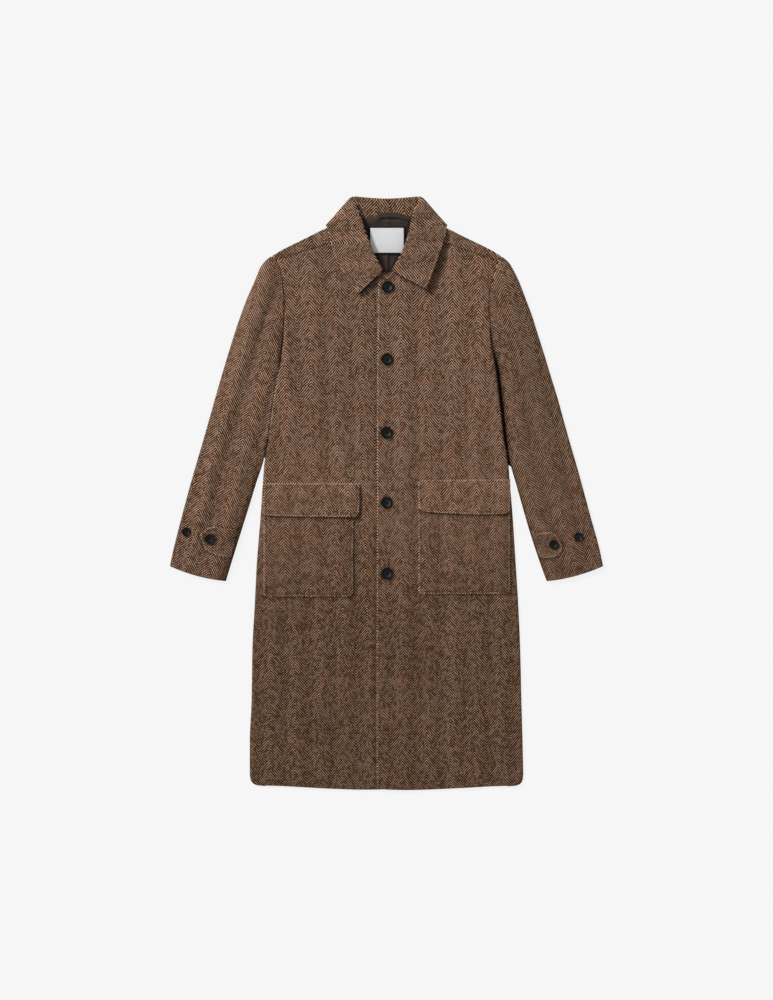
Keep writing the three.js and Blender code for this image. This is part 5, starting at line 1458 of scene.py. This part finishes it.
def herringbone(name):
    g = Graph(name)
    uv = g.add("ShaderNodeUVMap", uv_map="weave").outputs["UV"]
    place = g.add("ShaderNodeTexCoord").outputs["Object"]
    sep = g.add("ShaderNodeSeparateXYZ", {0: uv})
    U, V = sep.outputs[0], sep.outputs[1]
    # the cloth is never quite square: stripes and lines wander a little
    wander = g.noise(place, 22.0, 2.0)
    drift = g.noise(place, 70.0, 1.0)
    U2 = g.math("ADD", U, g.ranged(wander, 0, 1, -0.02, 0.02))
    V2 = g.math("ADD", V, g.ranged(drift, 0, 1, -0.22, 0.22))
    d = g.math("PINGPONG", U2, 0.5)
    phase = g.math("MULTIPLY_ADD", d, 9.75, V2)
    fine = g.noise(place, 420.0, 1.0)
    phase = g.math("ADD", phase, g.ranged(fine, 0, 1, -0.13, 0.13))
    line = g.math("FLOOR", phase)
    part = g.math("FRACT", phase)
    # floats: each line is broken into short lengths of yarn, offset from line to line
    seg = g.math("MULTIPLY_ADD", U2, 15.0, g.math("MULTIPLY", line, 0.37))
    seg_i, seg_f = g.math("FLOOR", seg), g.math("FRACT", seg)
    cell = g.add("ShaderNodeCombineXYZ", {0: line, 1: seg_i, 2: g.math("FLOOR", g.math("MULTIPLY", U2, 2.0))}).outputs[0]
    rand = g.add("ShaderNodeTexWhiteNoise", {"Vector": cell}, noise_dimensions="3D").outputs["Value"]
    # profile of a line, light in its middle and dark in the gap
    tri = g.math("PINGPONG", g.math("MULTIPLY", part, 1.0), 0.5)           # 0 in the gap, 0.5 on the line
    light = g.add("ShaderNodeMapRange", {"Value": tri, "From Min": 0.13, "From Max": 0.33, "To Min": 0.0, "To Max": 1.0},
                  interpolation_type="SMOOTHSTEP").outputs["Result"]
    across = g.math("MULTIPLY", g.math("PINGPONG", seg_f, 0.5), 2.0)       # 0 at the ends of a float
    bead = g.ranged(across, 0.0, 0.5, 0.72, 1.0)
    level = g.math("MULTIPLY", light, bead)
    level = g.math("ADD", level, g.ranged(rand, 0, 1, -0.24, 0.20))
    # the cloth is crisper in the chest and sleeves than in the skirt
    high = g.add("ShaderNodeSeparateXYZ", {0: place}).outputs[1]
    crisp = g.add("ShaderNodeMapRange", {"Value": high, "From Min": -0.25, "From Max": 0.15, "To Min": 0.94, "To Max": 1.15}).outputs["Result"]
    level = g.math("MULTIPLY_ADD", g.math("SUBTRACT", level, 0.5), crisp, 0.5)
    hairs = g.noise(place, 1500.0, 2.0, 0.6)
    level = g.math("ADD", level, g.ranged(hairs, 0.2, 0.8, -0.09, 0.09), clamp=True)
    colour = g.ramp(level, [(0.0, GAP), (0.28, (0.040, 0.0120, 0.0032)), (0.52, BROWN), (0.78, (0.305, 0.172, 0.104)), (1.0, TAN)])
    # each stripe is lighter toward its point and darker in its hollow, and the yarn is dyed in uneven lots
    swing = g.math("COSINE", g.math("MULTIPLY_ADD", U2, 2 * math.pi, 0.36))
    tone = g.math("MULTIPLY_ADD", swing, 0.105, 1.0)
    lot = g.ranged(g.noise(place, 95.0, 3.0, 0.6), 0.25, 0.75, 0.86, 1.14)
    broad = g.ranged(g.noise(place, 9.0, 2.0, 0.5), 0.3, 0.7, 0.955, 1.045)
    deeper = g.add("ShaderNodeMapRange", {"Value": high, "From Min": -0.25, "From Max": 0.15, "To Min": 1.0, "To Max": 0.93}).outputs["Result"]
    tone = g.math("MULTIPLY", g.math("MULTIPLY", tone, lot), g.math("MULTIPLY", broad, deeper))
    hue = g.noise(place, 52.0, 2.0, 0.55)
    tint = g.ramp(hue, [(0.32, (1.045, 0.965, 0.92)), (0.5, (1.0, 1.0, 1.0)), (0.68, (0.95, 1.0, 1.03))])
    colour = g.times(colour, tint)
    # the tone attribute carries painted light and shade: light falloff, cast shadows, shade in seams and creases, and
    # highlights on edges
    own = g.add("ShaderNodeAttribute", attribute_name="tone").outputs["Fac"]
    colour = g.times(colour, g.grey(g.math("MULTIPLY", tone, own)))
    # where painted highlights lift the tone above 1, the colour is also made paler
    highlight_paling = g.math("MULTIPLY", g.math("SUBTRACT", own, 1.0), 1.5, clamp=True)
    colour = g.times(colour, (0.95, 1.05, 1.14, 1), highlight_paling)
    # stray light hairs and dark slubs
    slub = g.add("ShaderNodeMapping", {"Vector": place, "Scale": (1.0, 0.32, 1.0), "Rotation": (0, 0, 0.7)}).outputs[0]
    fleck = g.ranged(g.noise(slub, 560.0, 1.0, 0.4), 0.705, 0.78, 0, 1)
    colour = g.mixed(g.math("MULTIPLY", fleck, 0.5, clamp=True), colour, (0.42, 0.31, 0.22, 1))
    dark = g.ranged(g.noise(slub, 330.0, 1.0, 0.4), 0.70, 0.80, 0, 1)
    colour = g.mixed(g.math("MULTIPLY", dark, 0.55, clamp=True), colour, (0.02, 0.010, 0.006, 1))
    height = g.math("ADD", g.math("MULTIPLY", light, 0.55), g.math("MULTIPLY", across, 0.25))
    height = g.math("ADD", height, g.math("MULTIPLY", hairs, 0.30))
    bump = g.add("ShaderNodeBump", {"Strength": 0.35, "Distance": 0.0007, "Height": height})
    bsdf = g.add("ShaderNodeBsdfPrincipled", {
        "Base Color": colour, "Roughness": 0.93, "Specular IOR Level": 0.0, "Normal": bump.outputs[0],
        "Sheen Weight": 0.05, "Sheen Roughness": 0.5, "Sheen Tint": (0.85, 0.66, 0.50, 1)})
    g.tree.links.new(bsdf.outputs[0], g.out.inputs[0])
    return g.material


def satin(name):
    g = Graph(name)
    uv = g.add("ShaderNodeUVMap", uv_map="weave").outputs["UV"]
    place = g.add("ShaderNodeTexCoord").outputs["Object"]
    stretched = g.add("ShaderNodeMapping", {"Vector": uv, "Scale": (0.35, 2.2, 1.0)}).outputs[0]
    threads = g.noise(stretched, 1.0, 3.0, 0.7)
    broad = g.noise(place, 60.0, 2.0)
    colour = g.ramp(g.math("ADD", g.math("MULTIPLY", threads, 0.5), g.math("MULTIPLY", broad, 0.5)),
                    [(0.3, (0.036, 0.0235, 0.0185)), (0.7, (0.076, 0.053, 0.044))])
    # the tone attribute carries painted shade in the pleat and painted shadow under the collar's leaves
    own = g.add("ShaderNodeAttribute", attribute_name="tone").outputs["Fac"]
    colour = g.times(colour, g.grey(own))
    bump = g.add("ShaderNodeBump", {"Strength": 0.35, "Distance": 0.0003, "Height": threads})
    bsdf = g.add("ShaderNodeBsdfPrincipled", {
        "Base Color": colour, "Roughness": 0.5, "Specular IOR Level": 0.20, "Normal": bump.outputs[0],
        "Sheen Weight": 0.06, "Sheen Roughness": 0.4, "Sheen Tint": (0.8, 0.75, 0.75, 1)})
    g.tree.links.new(bsdf.outputs[0], g.out.inputs[0])
    return g.material


def woven_tape(name):
    """Bare pale tape with a near-black border round it, and a fine woven line inside its edge."""
    g = Graph(name)
    place = g.add("ShaderNodeTexCoord").outputs["Object"]
    d = g.add("ShaderNodeAttribute", attribute_name="tone").outputs["Fac"]     # millimetres from the edge
    sep = g.add("ShaderNodeSeparateXYZ", {0: place})
    wx = g.math("SINE", g.math("MULTIPLY", sep.outputs[0], 2 * math.pi / 0.0011))
    wy = g.math("SINE", g.math("MULTIPLY", sep.outputs[1], 2 * math.pi / 0.0008))
    cloth = g.math("MULTIPLY", wx, wy)
    fibre = g.noise(place, 700.0, 2.0)
    level = g.math("ADD", g.ranged(cloth, -1, 1, 0.44, 0.56), g.ranged(fibre, 0, 1, -0.08, 0.08))
    pale = g.ramp(level, [(0.3, (0.83, 0.84, 0.86)), (0.7, (0.972, 0.978, 0.985))])
    line = g.math("SUBTRACT", 1.0, g.math("MULTIPLY", g.math("ABSOLUTE", g.math("SUBTRACT", d, LABEL_BORDER + 2.6)), 1.6), clamp=True)
    pale = g.mixed(g.math("MULTIPLY", line, 0.22), pale, (0.50, 0.51, 0.53, 1))
    dark = g.ramp(level, [(0.3, (0.004, 0.0035, 0.0035)), (0.7, (0.012, 0.010, 0.010))])
    colour = g.mixed(g.ranged(d, LABEL_BORDER - 0.35, LABEL_BORDER + 0.1, 0, 1), dark, pale)
    bump = g.add("ShaderNodeBump", {"Strength": 0.4, "Distance": 0.0003, "Height": level})
    bsdf = g.add("ShaderNodeBsdfPrincipled", {"Base Color": colour, "Roughness": 0.72, "Specular IOR Level": 0.25, "Normal": bump.outputs[0]})
    g.tree.links.new(bsdf.outputs[0], g.out.inputs[0])
    return g.material


def plastic(name):
    g = Graph(name)
    place = g.add("ShaderNodeTexCoord").outputs["Object"]
    swirl = g.noise(place, 130.0, 4.0, 0.6)
    colour = g.ramp(swirl, [(0.35, (0.006, 0.0066, 0.0072)), (0.55, (0.013, 0.0145, 0.0155)), (0.72, (0.030, 0.033, 0.035))])
    # the tone attribute carries the painted reflection in the dish and the painted highlight on its lit slope
    dish = g.add("ShaderNodeAttribute", attribute_name="tone").outputs["Fac"]
    colour = g.times(colour, g.grey(dish))
    wear = g.noise(place, 900.0, 3.0, 0.7)
    rough = g.ranged(wear, 0.3, 0.7, 0.34, 0.5)
    bump = g.add("ShaderNodeBump", {"Strength": 0.12, "Distance": 0.0002, "Height": wear})
    bsdf = g.add("ShaderNodeBsdfPrincipled", {"Base Color": colour, "Roughness": rough, "Specular IOR Level": 0.18, "Normal": bump.outputs[0],
                                              "Coat Weight": 0.04, "Coat Roughness": 0.25})
    g.tree.links.new(bsdf.outputs[0], g.out.inputs[0])
    return g.material


def thread(name):
    g = Graph(name)
    place = g.add("ShaderNodeTexCoord").outputs["Object"]
    colour = g.ramp(g.noise(place, 2600.0, 1.0), [(0.3, (0.016, 0.009, 0.006)), (0.7, (0.055, 0.034, 0.024))])
    bsdf = g.add("ShaderNodeBsdfPrincipled", {"Base Color": colour, "Roughness": 0.7, "Specular IOR Level": 0.3})
    g.tree.links.new(bsdf.outputs[0], g.out.inputs[0])
    return g.material


wool_material = herringbone("wool_herringbone")
satin_material = satin("lining_satin")
tape_material = woven_tape("label_tape")
plastic_material = plastic("button_plastic")
thread_material = thread("button_thread")

# ---- pieces and the solids they stand for ----
wool_pieces = {
    back: ("back",), front_right: ("front_right",), front_left: ("front_left",), sleeve_right: ("sleeve_right",), sleeve_left: ("sleeve_left",),
    collar_piece: ("collar",), pockets["right"]: ("pocket_right",), pockets["left"]: ("pocket_left",), flaps["right"]: ("flap_right",),
    flaps["left"]: ("flap_left",), tabs["right"]: ("tab_right",), tabs["left"]: ("tab_left",),
}
for piece, nodes in wool_pieces.items():
    piece.data.materials.append(wool_material)
    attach(piece, "root")
    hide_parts(*nodes)
for piece, node_name, material, slot_name in ((lining_piece, "lining", satin_material, "lining"), (loop_piece, "hanger_loop", satin_material, "lining"),
                                              (label_piece, "neck_label", tape_material, "label")):
    piece.data.materials.append(material)
    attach(piece, "root")
    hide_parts(node_name)
for node_name, piece in placed.items():
    piece.data.materials.clear()
    piece.data.materials.append(plastic_material)
    piece.data.materials.append(thread_material)
    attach(piece, "root")
    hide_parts(node_name)

# ---- floor, light and camera ----
floor_mesh = bpy.data.meshes.new("floor")
floor_mesh.from_pydata([(-8, -8, 0), (8, -8, 0), (8, 8, 0), (-8, 8, 0)], [], [(0, 1, 2, 3)])
floor = bpy.data.objects.new("floor", floor_mesh)
floor.location = (0, 0, -0.0003)
bpy.context.scene.collection.objects.link(floor)
g = Graph("floor_paper")
diffuse = g.add("ShaderNodeBsdfDiffuse", {"Color": (0.10, 0.10, 0.10, 1)})
glow = g.add("ShaderNodeEmission", {"Color": (1, 1, 1, 1), "Strength": FLOOR_GLOW})
both = g.add("ShaderNodeAddShader", {0: diffuse.outputs[0], 1: glow.outputs[0]})
g.tree.links.new(both.outputs[0], g.out.inputs[0])
floor_mesh.materials.append(g.material)

world = bpy.data.worlds.new("studio")
bpy.context.scene.world = world
world.use_nodes = True
world.node_tree.nodes["Background"].inputs[0].default_value = (1.0, 1.0, 1.0, 1)
world.node_tree.nodes["Background"].inputs[1].default_value = WORLD


def aim(ob, target):
    d = Vector(target) - ob.location
    ob.rotation_euler = d.to_track_quat("-Z", "Y").to_euler()


key = bpy.data.lights.new("key", "SUN")
key.energy, key.angle = KEY, math.radians(KEY_ANGLE)
key_ob = bpy.data.objects.new("key", key)
el, az = math.radians(KEY_ELEVATION), math.radians(KEY_AZIMUTH)
key_ob.location = (3 * math.cos(el) * math.cos(az), 3 * math.cos(el) * math.sin(az), 3 * math.sin(el))
aim(key_ob, (0, 0, 0))
bpy.context.scene.collection.objects.link(key_ob)

camera = bpy.data.cameras.new("camera")
camera.sensor_fit, camera.sensor_height, camera.lens = "VERTICAL", 36, 81
camera.clip_end = 50
camera_ob = bpy.data.objects.new("camera", camera)
camera_ob.location = (0, -0.0136, 4.5)
camera_ob.rotation_euler = (0, 0, 0)
bpy.context.scene.collection.objects.link(camera_ob)
bpy.context.scene.camera = camera_ob
bpy.context.scene.view_settings.view_transform = "Standard"
